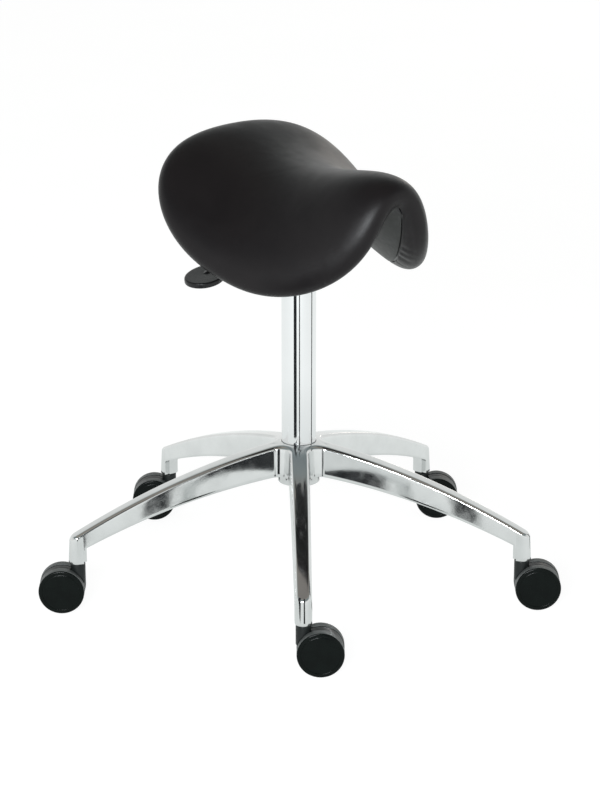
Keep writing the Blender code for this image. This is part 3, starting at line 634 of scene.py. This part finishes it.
def arm_hollow():
    steps = 14
    rings = []
    for step in range(steps + 1):
        r = CHANNEL_FROM + (CHANNEL_TO - CHANNEL_FROM) * step / steps
        wide = half_width(r) - ARM_WALL
        narrow = wide - 0.0015
        roof = float(arm_top(r)) - ARM_ROOF
        low = float(arm_under(r)) - 0.010
        rings.append([(r, -wide, low), (r, wide, low), (r, narrow, roof), (r, -narrow, roof)])
    points = [p for ring in rings for p in ring]
    faces = [(3, 2, 1, 0), tuple(range(len(points) - 4, len(points)))]
    for step in range(steps):
        for i in range(4):
            a, b = 4 * step + i, 4 * step + (i + 1) % 4
            faces.append((a, b, b + 4, a + 4))
    return points, faces


def build_base():
    near = JOINTS["near_caster_swivel"]["pos_m"]
    yaw = math.atan2(near[1], near[0])
    pivot_r = math.hypot(near[0], near[1])
    hollows, ribs = [], []
    for arm in range(ARMS):
        spin = Matrix.Rotation(2 * math.pi * arm / ARMS, 4, "Z")
        hollows.append(moved(arm_hollow(), spin))
        hole = drum(0.0058, BOSS_Z - 0.01, 0.1075, 32)
        hollows.append(moved(hole, spin @ Matrix.Translation((pivot_r, 0, 0))))
        low = (BOSS_RIB_IN_R, -BOSS_RIB_HALF_W, BOSS_Z + 0.0015)
        high = (pivot_r - 0.002, BOSS_RIB_HALF_W, float(arm_under(pivot_r)) + 0.008)
        ribs.append(moved(block(low, high), spin))
    skin = finish_mesh("base_casting", *star_mesh(), ALUMINIUM)
    skin = carved(skin, ("UNION", together(*ribs)), ("DIFFERENCE", together(*hollows)))
    skin.name = "base_casting"
    turn = Matrix.Rotation(yaw, 4, "Z")
    piece("base_casting", skin, "base", ["star_base"], turn)


# ---- the column and the gas spring ----
def build_column():
    low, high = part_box("column_tube")
    outer, inner = 0.0250, 0.0232
    floor_z = 0.164
    tube = [
        (outer, high.z, 0.0008),
        (outer, low.z, 0.0004),
        (0.0056, low.z, 0.0004),
        (0.0056, floor_z, 0.0004),
        (inner, floor_z, 0.0),
        (inner, high.z, 0.0005),
    ]
    mesh = turned("column", soften(tube, 0.0005, closed=True), CHROME, 96)
    piece("column", mesh, "base", ["column_tube"])

    bush_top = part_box("column_bush")[1].z
    bush = [
        (0.0247, bush_top, 0.0012),
        (0.0247, high.z + 0.0003, 0.0),
        (0.0229, high.z + 0.0003, 0.0),
        (0.0229, high.z - 0.100, 0.0),
        (0.0143, high.z - 0.100, 0.0),
        (0.0143, bush_top, 0.0006),
    ]
    mesh = turned("column_guide", soften(bush, 0.0005, closed=True), PLASTIC, 64)
    piece("column_guide", mesh, "base", ["column_bush"])

    low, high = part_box("gas_cylinder")
    spring = [
        (0.0124, high.z, 0.0005),
        (0.0130, high.z - 0.0006, 0.0),
        (0.0140, 0.5040, 0.004),
        (0.0140, low.z, 0.0008),
        (0.0122, low.z, 0.0),
        (0.0122, 0.5320, 0.0),
        (0.0034, 0.5320, 0.0),
        (0.0034, high.z, 0.0003),
    ]
    mesh = turned("gas_spring_body", soften(spring, 0.0005, closed=True), BLACK_STEEL, 64)
    piece("gas_spring_body", mesh, "seat", ["gas_cylinder"])


# ---- casters ----
WHEEL_R = 0.033


def wheel_meshes():
    """One wheel with its disc towards -Y, and the same one turned the other way."""
    out, inner = 0.0205, 0.0071
    profile = [
        (0.0, out - 0.0004),
        (0.0258, out - 0.0004, 0.0010),
        (0.0264, out - 0.0008, 0.0003),
        (0.0271, out - 0.0008, 0.0003),
        (0.0275, out - 0.0001, 0.0004),
        (0.0312, out, 0.0010),
        (WHEEL_R, out - 0.0016, 0.0010),
        (WHEEL_R, inner, 0.0011),
        (0.0300, inner, 0.0006),
        (0.0296, inner + 0.0008, 0.0003),
        (0.0075, inner + 0.0008, 0.0003),
        (0.0070, inner, 0.0003),
        (0.0044, inner, 0.0),
        (0.0044, 0.0152, 0.0),
        (0.0, 0.0152),
    ]
    points, faces = lathe(soften(profile, 0.0004), 96, closed=False)
    made = []
    for turn in (0.0, math.pi):
        spin = Matrix.Rotation(turn, 4, "Z")
        placed = [tuple(spin @ Vector(p)) for p in along_y(points)]
        mesh = finish_mesh("wheel", placed, faces, [DISC, TREAD])
        for face in mesh.polygons:
            r = math.hypot(face.center.x, face.center.z)
            face.material_index = 1 if r > 0.0325 else 0
        made.append(mesh)
    return made


def housing_mesh(trail):
    """Hood and neck about the pivot, the wheels' axle a little way along +X."""
    half = 0.0065
    hood = drum(0.0322, half, -half, 96, 0.0008)
    hub = Matrix.Translation((trail, 0, WHEEL_R))
    hood = moved((along_y(hood[0]), hood[1]), hub)
    neck_profile = [(0.0, 0.0715), (0.0107, 0.0715, 0.0012), (0.0107, 0.042), (0.0, 0.042)]
    neck = lathe(soften(neck_profile, 0.0008), 64, closed=False)
    sweeps = []
    for sign in (-1, 1):
        low, high = sorted((sign * (half + 0.0003), sign * 0.030))
        sweep = drum(WHEEL_R + 0.0012, high, low, 96)
        sweeps.append(moved((along_y(sweep[0]), sweep[1]), hub))
    foot = block((-0.02, -0.02, -0.02), (0.08, 0.02, 0.009))
    bore = drum(0.0044, 0.02, -0.02, 32)
    bore = moved((along_y(bore[0]), bore[1]), hub)
    socket = drum(0.0054, 0.080, 0.0485, 32)
    mesh = finish_mesh("caster_hood", *hood, HOOD)
    mesh = carved(
        mesh,
        ("UNION", neck),
        ("DIFFERENCE", sweeps[0]),
        ("DIFFERENCE", sweeps[1]),
        ("DIFFERENCE", foot),
        ("DIFFERENCE", bore),
        ("DIFFERENCE", socket),
    )
    return mesh


def build_casters():
    wheels = wheel_meshes()
    near = Vector(JOINTS["near_caster_swivel"]["pos_m"])
    spin_at = Vector(JOINTS["near_wheel_a_spin"]["pos_m"])
    hood = housing_mesh(spin_at.x - near.x)
    stem_profile = [
        (0.0, 0.1060),
        (0.0042, 0.1060, 0.0006),
        (0.0050, 0.1048, 0.0004),
        (0.0050, 0.1000),
        (0.0053, 0.0990),
        (0.0053, 0.0970),
        (0.0050, 0.0960),
        (0.0050, 0.0495, 0.0006),
        (0.0, 0.0495),
    ]
    stem = turned("stem", soften(stem_profile, 0.0002), ZINC, 32, closed=False)
    for name in CASTERS:
        pivot = JOINTS[f"{name}_caster_swivel"]["pos_m"]
        axle = JOINTS[f"{name}_wheel_a_spin"]["pos_m"]
        turn = 0.0 if axle[0] > pivot[0] else math.pi
        on_pivot = Matrix.Translation((pivot[0], pivot[1], 0))
        about = on_pivot @ Matrix.Rotation(turn, 4, "Z")
        piece(f"{name}_hood", hood, f"{name}_caster", [f"{name}_caster_housing"], about)
        piece(f"{name}_stem", stem, "base", [f"{name}_caster_stem"], on_pivot)
        for letter, mesh in zip("ab", wheels):
            wheel = f"{name}_wheel_{letter}"
            where = Matrix.Translation(axle)
            piece(f"{name}_roller_{letter}", mesh, wheel, [wheel], where)
        frame["nodes"][f"{name}_caster_axle"].data.materials[0] = ZINC


# ---- the seat ----
class Saddle:
    """The middle surface of the pad: p runs forwards along the centre line and q sideways over the crown."""

    def __init__(self):
        self.tau = np.linspace(-1.4, 1.4, 113)
        slope = np.polyfit(RISE_AT, RISE, 3)
        angle = np.radians(np.polyval(slope, np.clip(self.tau, -1.15, 1.15)))
        step = PAD_HALF_LONG * (self.tau[1] - self.tau[0])
        self.u = self.running_sum(np.cos(angle) * step)
        self.z = self.running_sum(np.sin(angle) * step)

    def running_sum(self, steps):
        total = np.concatenate([[0.0], np.cumsum((steps[1:] + steps[:-1]) / 2)])
        return total - total[len(total) // 2]

    def at(self, p, q):
        tau = p / PAD_HALF_LONG
        share = np.clip((tau + 1) / 2, 0.0, 1.0) ** DROOP_POWER
        steepest = np.radians(DROOP_TAIL + (DROOP_POMMEL - DROOP_TAIL) * share)
        crest = CREST_TAIL + (CREST_POMMEL - CREST_TAIL) * share
        s = np.linspace(0.0, 1.0, 25)[:, None] * np.abs(q)[None, :]
        slope = steepest * np.tanh(s / crest)
        width = np.abs(q) / 24
        across = ((np.cos(slope[1:]) + np.cos(slope[:-1])) / 2).sum(0) * width
        fall = ((np.sin(slope[1:]) + np.sin(slope[:-1])) / 2).sum(0) * width
        u = np.interp(tau, self.tau, self.u)
        z = np.interp(tau, self.tau, self.z)
        return np.stack([u + SEAT_U, np.sign(q) * across, z + SEAT_Z - fall], 1)

    def normal(self, p, q):
        d = 0.001
        along = self.at(p + d, q) - self.at(p - d, q)
        across = self.at(p, q + d) - self.at(p, q - d)
        made = np.cross(along, across)
        return made / np.linalg.norm(made, axis=1)[:, None]

    def plan(self, rho, theta):
        power = 2 / OUTLINE_POWER
        c, s = np.cos(theta), np.sin(theta)
        p = rho * PAD_HALF_LONG * np.sign(c) * np.abs(c) ** power
        q = rho * PAD_HALF_WIDE * np.sign(s) * np.abs(s) ** power
        return p, q * (1 + OUTLINE_TAPER * c)

    def half_thickness(self, rho):
        swell = np.maximum(1 - rho**EDGE_POWER, 0.0) ** (1 / EDGE_ROUND)
        return PAD_T / 2 * swell

    def under_rho(self, rho, theta):
        """Spreads the underside's rings so that the panel's rim is an even oval inside the outline."""
        power = 2 / OUTLINE_POWER
        along = np.abs(np.cos(theta)) ** power / SEAM_LONG
        across = np.abs(np.sin(theta)) ** power / SEAM_WIDE
        rim = (along**SEAM_POWER + across**SEAM_POWER) ** (-1 / SEAM_POWER)
        outer = rim + (1 - rim) * (rho - TUCK_RHO) / (1 - TUCK_RHO)
        return np.where(rho <= TUCK_RHO, rho * rim / TUCK_RHO, outer)

    def points(self, rho, theta, side, lift):
        """Points of the pad's upper (side 1) or lower (side -1) face, moved inwards by lift."""
        rho = np.where(side < 0, self.under_rho(rho, theta), rho)
        p, q = self.plan(rho, theta)
        height = side * (self.half_thickness(rho) - lift)
        return self.at(p, q) + self.normal(p, q) * height[:, None]


HALF_CELLS = 30  # half the cells along one side of the pad's square grid
RING = 8 * HALF_CELLS


def disc_grid():
    """A square grid mapped to the disc: rho and theta of each point, its faces, and its rim's indices."""
    n = HALF_CELLS
    rho, theta = [], []
    for i in range(-n, n + 1):
        for j in range(-n, n + 1):
            reach = max(abs(i), abs(j))
            rho.append(reach / n)
            if reach == 0:
                theta.append(0.0)
            elif abs(i) >= abs(j):
                theta.append(math.pi / 4 * j / i + (0.0 if i > 0 else math.pi))
            else:
                theta.append(math.pi / 2 - math.pi / 4 * i / j + (0.0 if j > 0 else math.pi))
    wide = 2 * n + 1
    faces = []
    for i in range(2 * n):
        for j in range(2 * n):
            a = i * wide + j
            faces.append((a, a + wide, a + wide + 1, a + 1))
    rim = [k for k, r in enumerate(rho) if r == 1.0]
    rim.sort(key=lambda k: theta[k] % (2 * math.pi))
    return np.array(rho), np.array(theta), faces, rim


def pad_mesh(saddle, rows, name, mats):
    """A closed pad: a square grid on top out to rows[0], then rings, then a square grid that closes it below.

    Each row is (rho, side, lift). The last one is the rim of the lower grid.
    """
    rho, theta, grid_faces, rim = disc_grid()
    rim_theta = theta[rim]
    table = []

    def add(rhos, thetas, side, lift):
        table.append(np.stack([rhos, thetas, np.full(len(rhos), side), np.full(len(rhos), lift)], 1))

    add(rho * rows[0][0], theta, rows[0][1], rows[0][2])
    start = len(rho)
    previous = list(rim)
    faces = list(grid_faces)
    for ring_rho, side, lift in rows[1:-1]:
        add(np.full(RING, ring_rho), rim_theta, side, lift)
        ring = list(range(start, start + RING))
        start += RING
        for k in range(RING):
            m = (k + 1) % RING
            faces.append((previous[k], previous[m], ring[m], ring[k]))
        previous = ring
    ring_rho, side, lift = rows[-1]
    add(rho * ring_rho, theta, side, lift)
    ring = [start + k for k in rim]
    for k in range(RING):
        m = (k + 1) % RING
        faces.append((previous[k], previous[m], ring[m], ring[k]))
    faces += [tuple(start + v for v in face[::-1]) for face in grid_faces]
    params = np.concatenate(table)
    points = saddle.points(*params.T)
    return finish_mesh(name, points, faces, mats, 50.0), params


def edge_rhos(low, high_angle, steps):
    """Rings that keep an even spacing round the pad's edge, from rho low out to just before the edge."""
    start = math.acos((1 - low**EDGE_POWER) ** (1 / EDGE_ROUND))
    angles = np.linspace(start, high_angle, steps)
    return [float((1 - math.cos(a) ** EDGE_ROUND) ** (1 / EDGE_POWER)) for a in angles]


def cover_rows():
    out = edge_rhos(0.80, math.pi / 2, 16)
    back = edge_rhos(0.845, math.pi / 2, 13)[::-1][1:]
    rows = [(out[0], 1, 0.0)] + [(r, 1, 0.0) for r in out[1:-1]] + [(1.0, 1, 0.0)]
    rows += [(r, -1, 0.0) for r in back]
    tuck = (
        (0.832, 0.0),
        (0.821, 0.0003),
        (0.813, 0.0010),
        (0.8075, 0.0022),
        (0.805, 0.0040),
        (0.804, 0.0070),
        (0.803, 0.0125),
        (0.790, 0.0135),
    )
    return rows + [(rho, -1, lift) for rho, lift in tuck]


def gathers(theta):
    """How deep the cover is gathered at each angle: folds crowd where the outline turns its corners."""
    folds = np.zeros_like(theta)
    for corner, strength in ((46, 1.0), (-46, 1.0), (133, 0.8), (-133, 0.8)):
        away = (np.degrees(theta) - corner + 180) % 360 - 180
        window = np.exp(-((away / 17.0) ** 2))
        wave = np.sin(np.radians(away) * 46 + 1.3 * np.sin(np.radians(away) * 17 + corner)) * 0.5 + 0.5
        folds += strength * window * wave**3
    return folds


def calmed(mesh, shift, chosen):
    """The shift of each point, evened out over its neighbours where chosen, so that the top stays taut."""
    ends = np.array([edge.vertices[:] for edge in mesh.edges])
    links = np.bincount(ends.ravel(), minlength=len(shift))[:, None]
    for _ in range(60):
        total = np.zeros_like(shift)
        np.add.at(total, ends[:, 0], shift[ends[:, 1]])
        np.add.at(total, ends[:, 1], shift[ends[:, 0]])
        shift = np.where(chosen[:, None], total / links, shift)
    return shift


def cloth_puff(obj, params):
    """Lets the cover swell like stuffed leather: pinned where it is tucked in, with a little air inside."""
    pins = obj.vertex_groups.new(name="tucked")
    inner = (params[:, 2] < 0) & (params[:, 0] < 0.86)
    pins.add([int(v) for v in np.nonzero(inner)[0]], 1.0, "REPLACE")
    cloth = obj.modifiers.new("cloth", "CLOTH")
    settings = cloth.settings
    settings.quality = 6
    settings.mass = 0.35
    settings.use_pressure = True
    settings.uniform_pressure_force = 2.2
    settings.tension_stiffness = 45
    settings.compression_stiffness = 45
    settings.shear_stiffness = 25
    settings.bending_stiffness = 40
    settings.vertex_group_mass = "tucked"
    settings.effector_weights.gravity = 0.0
    before = np.array([v.co for v in obj.data.vertices])
    for step in range(1, 17):
        scene.frame_set(step)
    graph = bpy.context.evaluated_depsgraph_get()
    after = np.array([v.co for v in obj.evaluated_get(graph).data.vertices])
    obj.modifiers.remove(cloth)
    obj.vertex_groups.remove(pins)
    scene.frame_set(1)
    shift = calmed(obj.data, after - before, params[:, 2] > 0)
    reach = np.linalg.norm(shift, axis=1)
    cap = 0.0018
    shift *= (cap * np.tanh(reach / cap) / np.maximum(reach, 1e-9))[:, None]
    obj.data.vertices.foreach_set("co", (before + shift).astype(np.float32).ravel())
    obj.data.update()
    return shift


def build_seat():
    saddle = Saddle()
    turn = Matrix.Rotation(math.radians(SEAT_YAW), 4, "Z")
    mesh, params = pad_mesh(saddle, cover_rows(), "saddle_cover", LEATHER)
    cover = bpy.data.objects.new("saddle_cover", mesh)
    scene.collection.objects.link(cover)
    # Gathers: the leather is pulled in over the corners underneath.
    normal = np.array([v.normal for v in mesh.vertices])
    under = (params[:, 2] < 0).astype(float)
    reach = np.clip((0.985 - params[:, 0]) / 0.10, 0.0, 1.0)
    reach *= np.clip((params[:, 0] - 0.80) / 0.012, 0.0, 1.0)
    depth = gathers(params[:, 1]) * under * reach * 0.0018
    points = np.array([v.co for v in mesh.vertices]) - normal * depth[:, None]
    mesh.vertices.foreach_set("co", points.astype(np.float32).ravel())
    mesh.update()
    cloth_puff(cover, params)
    fine = cover.modifiers.new("fine", "SUBSURF")
    fine.levels = fine.render_levels = 1
    cover.matrix_world = turn
    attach(cover, "seat")
    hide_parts("seat_cover", "seat_foam")

    thick = 0.0016
    panel_rows = [
        (0.765, -1, 0.0002 + thick),
        (0.788, -1, 0.0002 + thick),
        (PANEL_RHO, -1, 0.0003 + thick * 0.7),
        (PANEL_RHO + 0.0010, -1, 0.0003 + thick * 0.35),
        (PANEL_RHO - 0.001, -1, 0.0003),
        (0.788, -1, 0.0001),
        (0.765, -1, 0.0001),
    ]
    panel, _ = pad_mesh(saddle, panel_rows, "under_panel", PANEL)
    openings = []
    for u, v in SCREWS:
        hole = drum(0.0106, 0.54, 0.60, 48)
        openings.append(("DIFFERENCE", moved(hole, Matrix.Translation((u, v, 0)))))
    panel = carved(panel, *openings, sharp=40.0)
    piece("under_panel", panel, "seat", ["seat_liner"], turn)


# ---- the mechanism and its lever ----
LEVER_YAW = 180.0
PIVOT_X, PIVOT_Z, LEVER_R, PIN_TOP = 0.036, 0.5462, 0.0033, 0.5455
PADDLE_X, PADDLE_Y, PADDLE_Z = 0.131, 0.050, 0.4825
PADDLE_YAW, PADDLE_DROOP = 66.4, 8.0
PADDLE_LONG, PADDLE_WIDE, PADDLE_THICK = 0.0375, 0.0275, 0.0080


def smooth_path(points, steps):
    ends = [Vector(p) for p in (points[0], *points, points[-1])]
    path = []
    for i in range(1, len(ends) - 2):
        a, b, c, d = ends[i - 1 : i + 3]
        for step in range(steps):
            t = step / steps
            bend = (2 * a - 5 * b + 4 * c - d) * t**2 + (3 * b - a - 3 * c + d) * t**3
            path.append(0.5 * (2 * b + (c - a) * t + bend))
    path.append(ends[-2])
    return path


def paddle_mesh():
    """An egg-shaped grip about its own middle, long along x, with a raised rib over the bar that holds it."""
    half = PADDLE_THICK / 2
    round_r = 0.0019
    rings = []
    for share in (0.0, 0.35, 0.65, 0.85):
        rings.append((share, half - 0.0004 * (1 - share) ** 2))
    for step in range(7):
        a = math.radians(90 * step / 6)
        rings.append((None, math.sin(a), math.cos(a)))
    sides = 96
    levels = []
    for ring in rings:
        if ring[0] is None:
            levels.append((1.0, -round_r * (1 - ring[1]), half - round_r + round_r * ring[2]))
        else:
            levels.append((ring[0] * (1 - round_r / PADDLE_WIDE), 0.0, ring[1]))
    levels += [(s, i, -z) for s, i, z in reversed(levels)]
    points, faces, rows = [], [], []
    for share, inset, z in levels:
        row = []
        for k in range(sides):
            a = 2 * math.pi * k / sides
            c, s = math.cos(a), math.sin(a)
            egg = 1.0 + 0.10 * c
            x = (PADDLE_LONG * share + inset) * c
            y = (PADDLE_WIDE * egg * share + inset) * s
            row.append(len(points))
            points.append((x, y, z))
            if share == 0.0:
                break
        rows.append(row * sides if len(row) == 1 else row)
    for low, high in zip(rows[:-1], rows[1:]):
        for k in range(sides):
            m = (k + 1) % sides
            ring = [low[k], low[m], high[m], high[k]]
            face = [v for i, v in enumerate(ring) if v != ring[i - 1]]
            if len(set(face)) >= 3:
                faces.append(face)
    body = finish_mesh("paddle", points, faces, PLASTIC)
    sleeve_path = [(-PADDLE_LONG - 0.004 + 0.0385 * t / 12, 0.0, 0.0) for t in range(13)]
    sleeve = swept(sleeve_path, 0.0056, 32)
    made = carved(body, ("UNION", sleeve))
    holder = bpy.data.objects.new("paddle", made)
    scene.collection.objects.link(holder)
    remesh = holder.modifiers.new("remesh", "REMESH")
    remesh.mode = "VOXEL"
    remesh.voxel_size = 0.0007
    smooth = holder.modifiers.new("smooth", "CORRECTIVE_SMOOTH")
    smooth.smooth_type = "LENGTH_WEIGHTED"
    smooth.use_only_smooth = True
    smooth.iterations = 10
    bpy.context.view_layer.update()
    graph = bpy.context.evaluated_depsgraph_get()
    result = bpy.data.meshes.new_from_object(holder.evaluated_get(graph))
    bpy.data.objects.remove(holder, do_unlink=True)
    result.materials.clear()
    result.materials.append(PLASTIC)
    result.shade_smooth()
    return result


def build_lever():
    heading = Vector((math.cos(math.radians(PADDLE_YAW)), math.sin(math.radians(PADDLE_YAW)), 0.0))
    fall = heading - Vector((0, 0, math.tan(math.radians(PADDLE_DROOP))))
    grip = Vector((PADDLE_X, PADDLE_Y, PADDLE_Z))
    mouth = grip - fall * (PADDLE_LONG + 0.008)
    inside = grip - fall * 0.012
    over_pin = PIN_TOP + 0.0004 + LEVER_R
    route = (
        (-0.006, 0.0, over_pin),
        (0.014, 0.0, over_pin),
        (PIVOT_X, 0.0, PIVOT_Z),
        (0.055, 0.0, 0.5385),
        (0.080, -0.0010, 0.5210),
        (0.100, 0.0005, 0.5040),
        tuple(mouth),
    )
    turn = Matrix.Rotation(math.radians(LEVER_YAW), 4, "Z")
    path = smooth_path(route, 9) + [inside]
    bar = finish_mesh("lever_rod", *swept(path, LEVER_R, 24), ZINC)
    eye = drum(0.0062, 0.007, -0.007, 40, 0.0006)
    hole = drum(0.0034, 0.02, -0.02, 32)
    at_pivot = Matrix.Translation((PIVOT_X, 0.0, PIVOT_Z))
    eye = moved((along_y(eye[0]), eye[1]), at_pivot)
    hole = moved((along_y(hole[0]), hole[1]), at_pivot)
    bar = carved(bar, ("UNION", eye), ("DIFFERENCE", hole))
    piece("lever_rod", bar, "lever", ["lever_bar"], turn)
    yaw = Matrix.Rotation(math.radians(PADDLE_YAW), 4, "Z")
    tilt = yaw @ Matrix.Rotation(math.radians(PADDLE_DROOP), 4, "Y")
    where = turn @ Matrix.Translation(grip) @ tilt
    piece("lever_grip", paddle_mesh(), "lever", ["lever_paddle"], where)


def build_mechanism():
    socket = [
        (0.0200, 0.543, 0.0008),
        (0.0200, 0.525, 0.002),
        (0.0175, 0.506, 0.0010),
        (0.0143, 0.506, 0.0005),
        (0.0143, 0.512, 0.0),
        (0.0133, 0.543, 0.0005),
    ]
    sleeve = turned("taper_sleeve", soften(socket, 0.0005, closed=True), ZINC, 64)
    piece("taper_sleeve", sleeve, "seat", ["taper_socket"])
    turn = Matrix.Rotation(math.radians(SEAT_YAW), 4, "Z")
    for index, (u, v) in enumerate(SCREWS):
        low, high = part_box(f"plate_screw_{index + 1}")
        head = PLATE_Z - 0.0003
        profile = [
            (0.0, low.z + 0.0018, 0.0),
            (0.0020, low.z + 0.0018, 0.0),
            (0.0024, low.z, 0.0003),
            (0.0040, low.z + 0.0002, 0.0008),
            (0.0055, low.z + 0.0014, 0.0006),
            (0.0055, head, 0.0003),
            (0.0028, head, 0.0),
            (0.0028, high.z, 0.0004),
            (0.0, high.z),
        ]
        mesh = turned("screw", soften(profile, 0.0003), ZINC, 40, closed=False)
        where = turn @ Matrix.Translation((u, v, 0))
        piece(f"screw_{index + 1}", mesh, "seat", [f"plate_screw_{index + 1}"], where)


def paint_frame():
    """Materials for the CAD pieces that stay."""
    for name, obj in frame["nodes"].items():
        if obj.hide_render:
            continue
        look = ZINC
        if name in ("piston_rod",):
            look = CHROME
        elif name in ("piston", "mechanism_plate"):
            look = BLACK_STEEL
        elif name in ("stop_buffer",):
            look = RUBBER
        elif name in ("seat_shell", "cylinder_gland"):
            look = PLASTIC
        obj.data.materials.clear()
        obj.data.materials.append(look)
        obj.data.shade_smooth()
        obj.data.set_sharp_from_angle(angle=math.radians(35))


# ---- floor, light and camera ----
def build_stage():
    points, faces = [], []
    half, cells_across = 14.0, 8
    for i in range(cells_across + 1):
        for j in range(cells_across + 1):
            points.append((-half + 2 * half * i / cells_across, -half + 2 * half * j / cells_across, 0.0))
    for i in range(cells_across):
        for j in range(cells_across):
            a = i * (cells_across + 1) + j
            faces.append((a, a + cells_across + 1, a + cells_across + 2, a + 1))
    floor = bpy.data.objects.new("floor", finish_mesh("floor", points, faces, floor_white()))
    scene.collection.objects.link(floor)


def aimed(name, data, location, z_axis):
    made = bpy.data.objects.new(name, data)
    made.location = location
    made.rotation_mode = "QUATERNION"
    made.rotation_quaternion = z_axis.to_track_quat("Z", "Y")
    made.visible_camera = False
    scene.collection.objects.link(made)
    return made


def card(name, centre, size, facing, colour):
    """A flat card that the metal reflects and the camera doesn't see: a painted reflection that casts no
    light or shadow.
    """
    w, h = size[0] / 2, size[1] / 2
    mesh = finish_mesh(name, [(-w, -h, 0), (w, -h, 0), (w, h, 0), (-w, h, 0)], [(0, 1, 2, 3)], [])
    mat = bpy.data.materials.new(name)
    mat.use_nodes = True
    tree = mat.node_tree
    tree.nodes.clear()
    light = tree.nodes.new("ShaderNodeEmission")
    light.inputs["Color"].default_value = (*colour, 1.0)
    light.inputs["Strength"].default_value = 1.0
    out = tree.nodes.new("ShaderNodeOutputMaterial")
    tree.links.new(light.outputs[0], out.inputs[0])
    mesh.materials.append(mat)
    made = aimed(name, mesh, centre, Vector(facing) - Vector(centre))
    made.visible_diffuse = False
    made.visible_shadow = False


def area(name, location, target, size, power, colour=(1, 1, 1)):
    light = bpy.data.lights.new(name, "AREA")
    light.shape = "RECTANGLE"
    light.size, light.size_y = size
    light.energy = power
    light.color = colour
    aimed(name, light, location, Vector(location) - Vector(target))


def build_light():
    world = bpy.data.worlds.new("studio")
    scene.world = world
    world.use_nodes = True
    tree = world.node_tree
    tree.nodes.clear()
    where = tree.nodes.new("ShaderNodeTexCoord")
    split = tree.nodes.new("ShaderNodeSeparateXYZ")
    ramp = tree.nodes.new("ShaderNodeValToRGB")
    back = tree.nodes.new("ShaderNodeBackground")
    out = tree.nodes.new("ShaderNodeOutputWorld")
    tree.links.new(where.outputs["Generated"], split.inputs[0])
    tree.links.new(split.outputs["Z"], ramp.inputs[0])
    tree.links.new(ramp.outputs[0], back.inputs[0])
    tree.links.new(back.outputs[0], out.inputs[0])
    ramp.color_ramp.elements[0].position = 0.0
    ramp.color_ramp.elements[0].color = (0.88, 0.89, 0.88, 1)
    ramp.color_ramp.elements[1].position = 1.0
    ramp.color_ramp.elements[1].color = (0.22, 0.21, 0.20, 1)
    for height, colour in (
        (0.27, (0.86, 0.87, 0.86)),
        (0.48, (0.74, 0.76, 0.75)),
        (0.60, (0.20, 0.235, 0.24)),
        (0.72, (0.24, 0.27, 0.27)),
        (0.82, (0.30, 0.275, 0.24)),
    ):
        ramp.color_ramp.elements.new(height).color = (*colour, 1)
    back.inputs[1].default_value = 1.0
    area("front_left", (-1.0, -4.6, 1.75), (0, 0, 0.45), (1.8, 1.1), 210, (0.93, 0.97, 1.0))
    area("low_back", (1.45, 4.8, 1.1), (0, 0, 0.6), (1.0, 0.5), 3.2, (1.0, 0.90, 0.80))
    # Dark cards seen only in reflections: painted dark streaks in the column's and the arms' polished metal.
    for turn, wide in ((-23.0, 0.17), (5.0, 0.055), (94.0, 0.07)):
        way = math.radians(turn - 90)
        centre = (0.5 * math.cos(way), 0.5 * math.sin(way), 0.31)
        card("painted_dark_reflection", centre, (wide, 0.58), (0.0, 0.0, 0.31), (0.02, 0.022, 0.024))
    scene.view_settings.view_transform = "Standard"


def build_camera():
    data = bpy.data.cameras.new("camera")
    data.sensor_width = 36.0
    data.lens = 129.6
    made = bpy.data.objects.new("camera", data)
    made.location = (0.0018, -3.9637, 1.6081)
    made.rotation_euler = (math.radians(71.49), 0.0, 0.0)
    scene.collection.objects.link(made)
    scene.camera = made


build_camera()
build_base()
build_column()
build_casters()
build_seat()
build_lever()
build_mechanism()
paint_frame()
build_stage()
build_light()
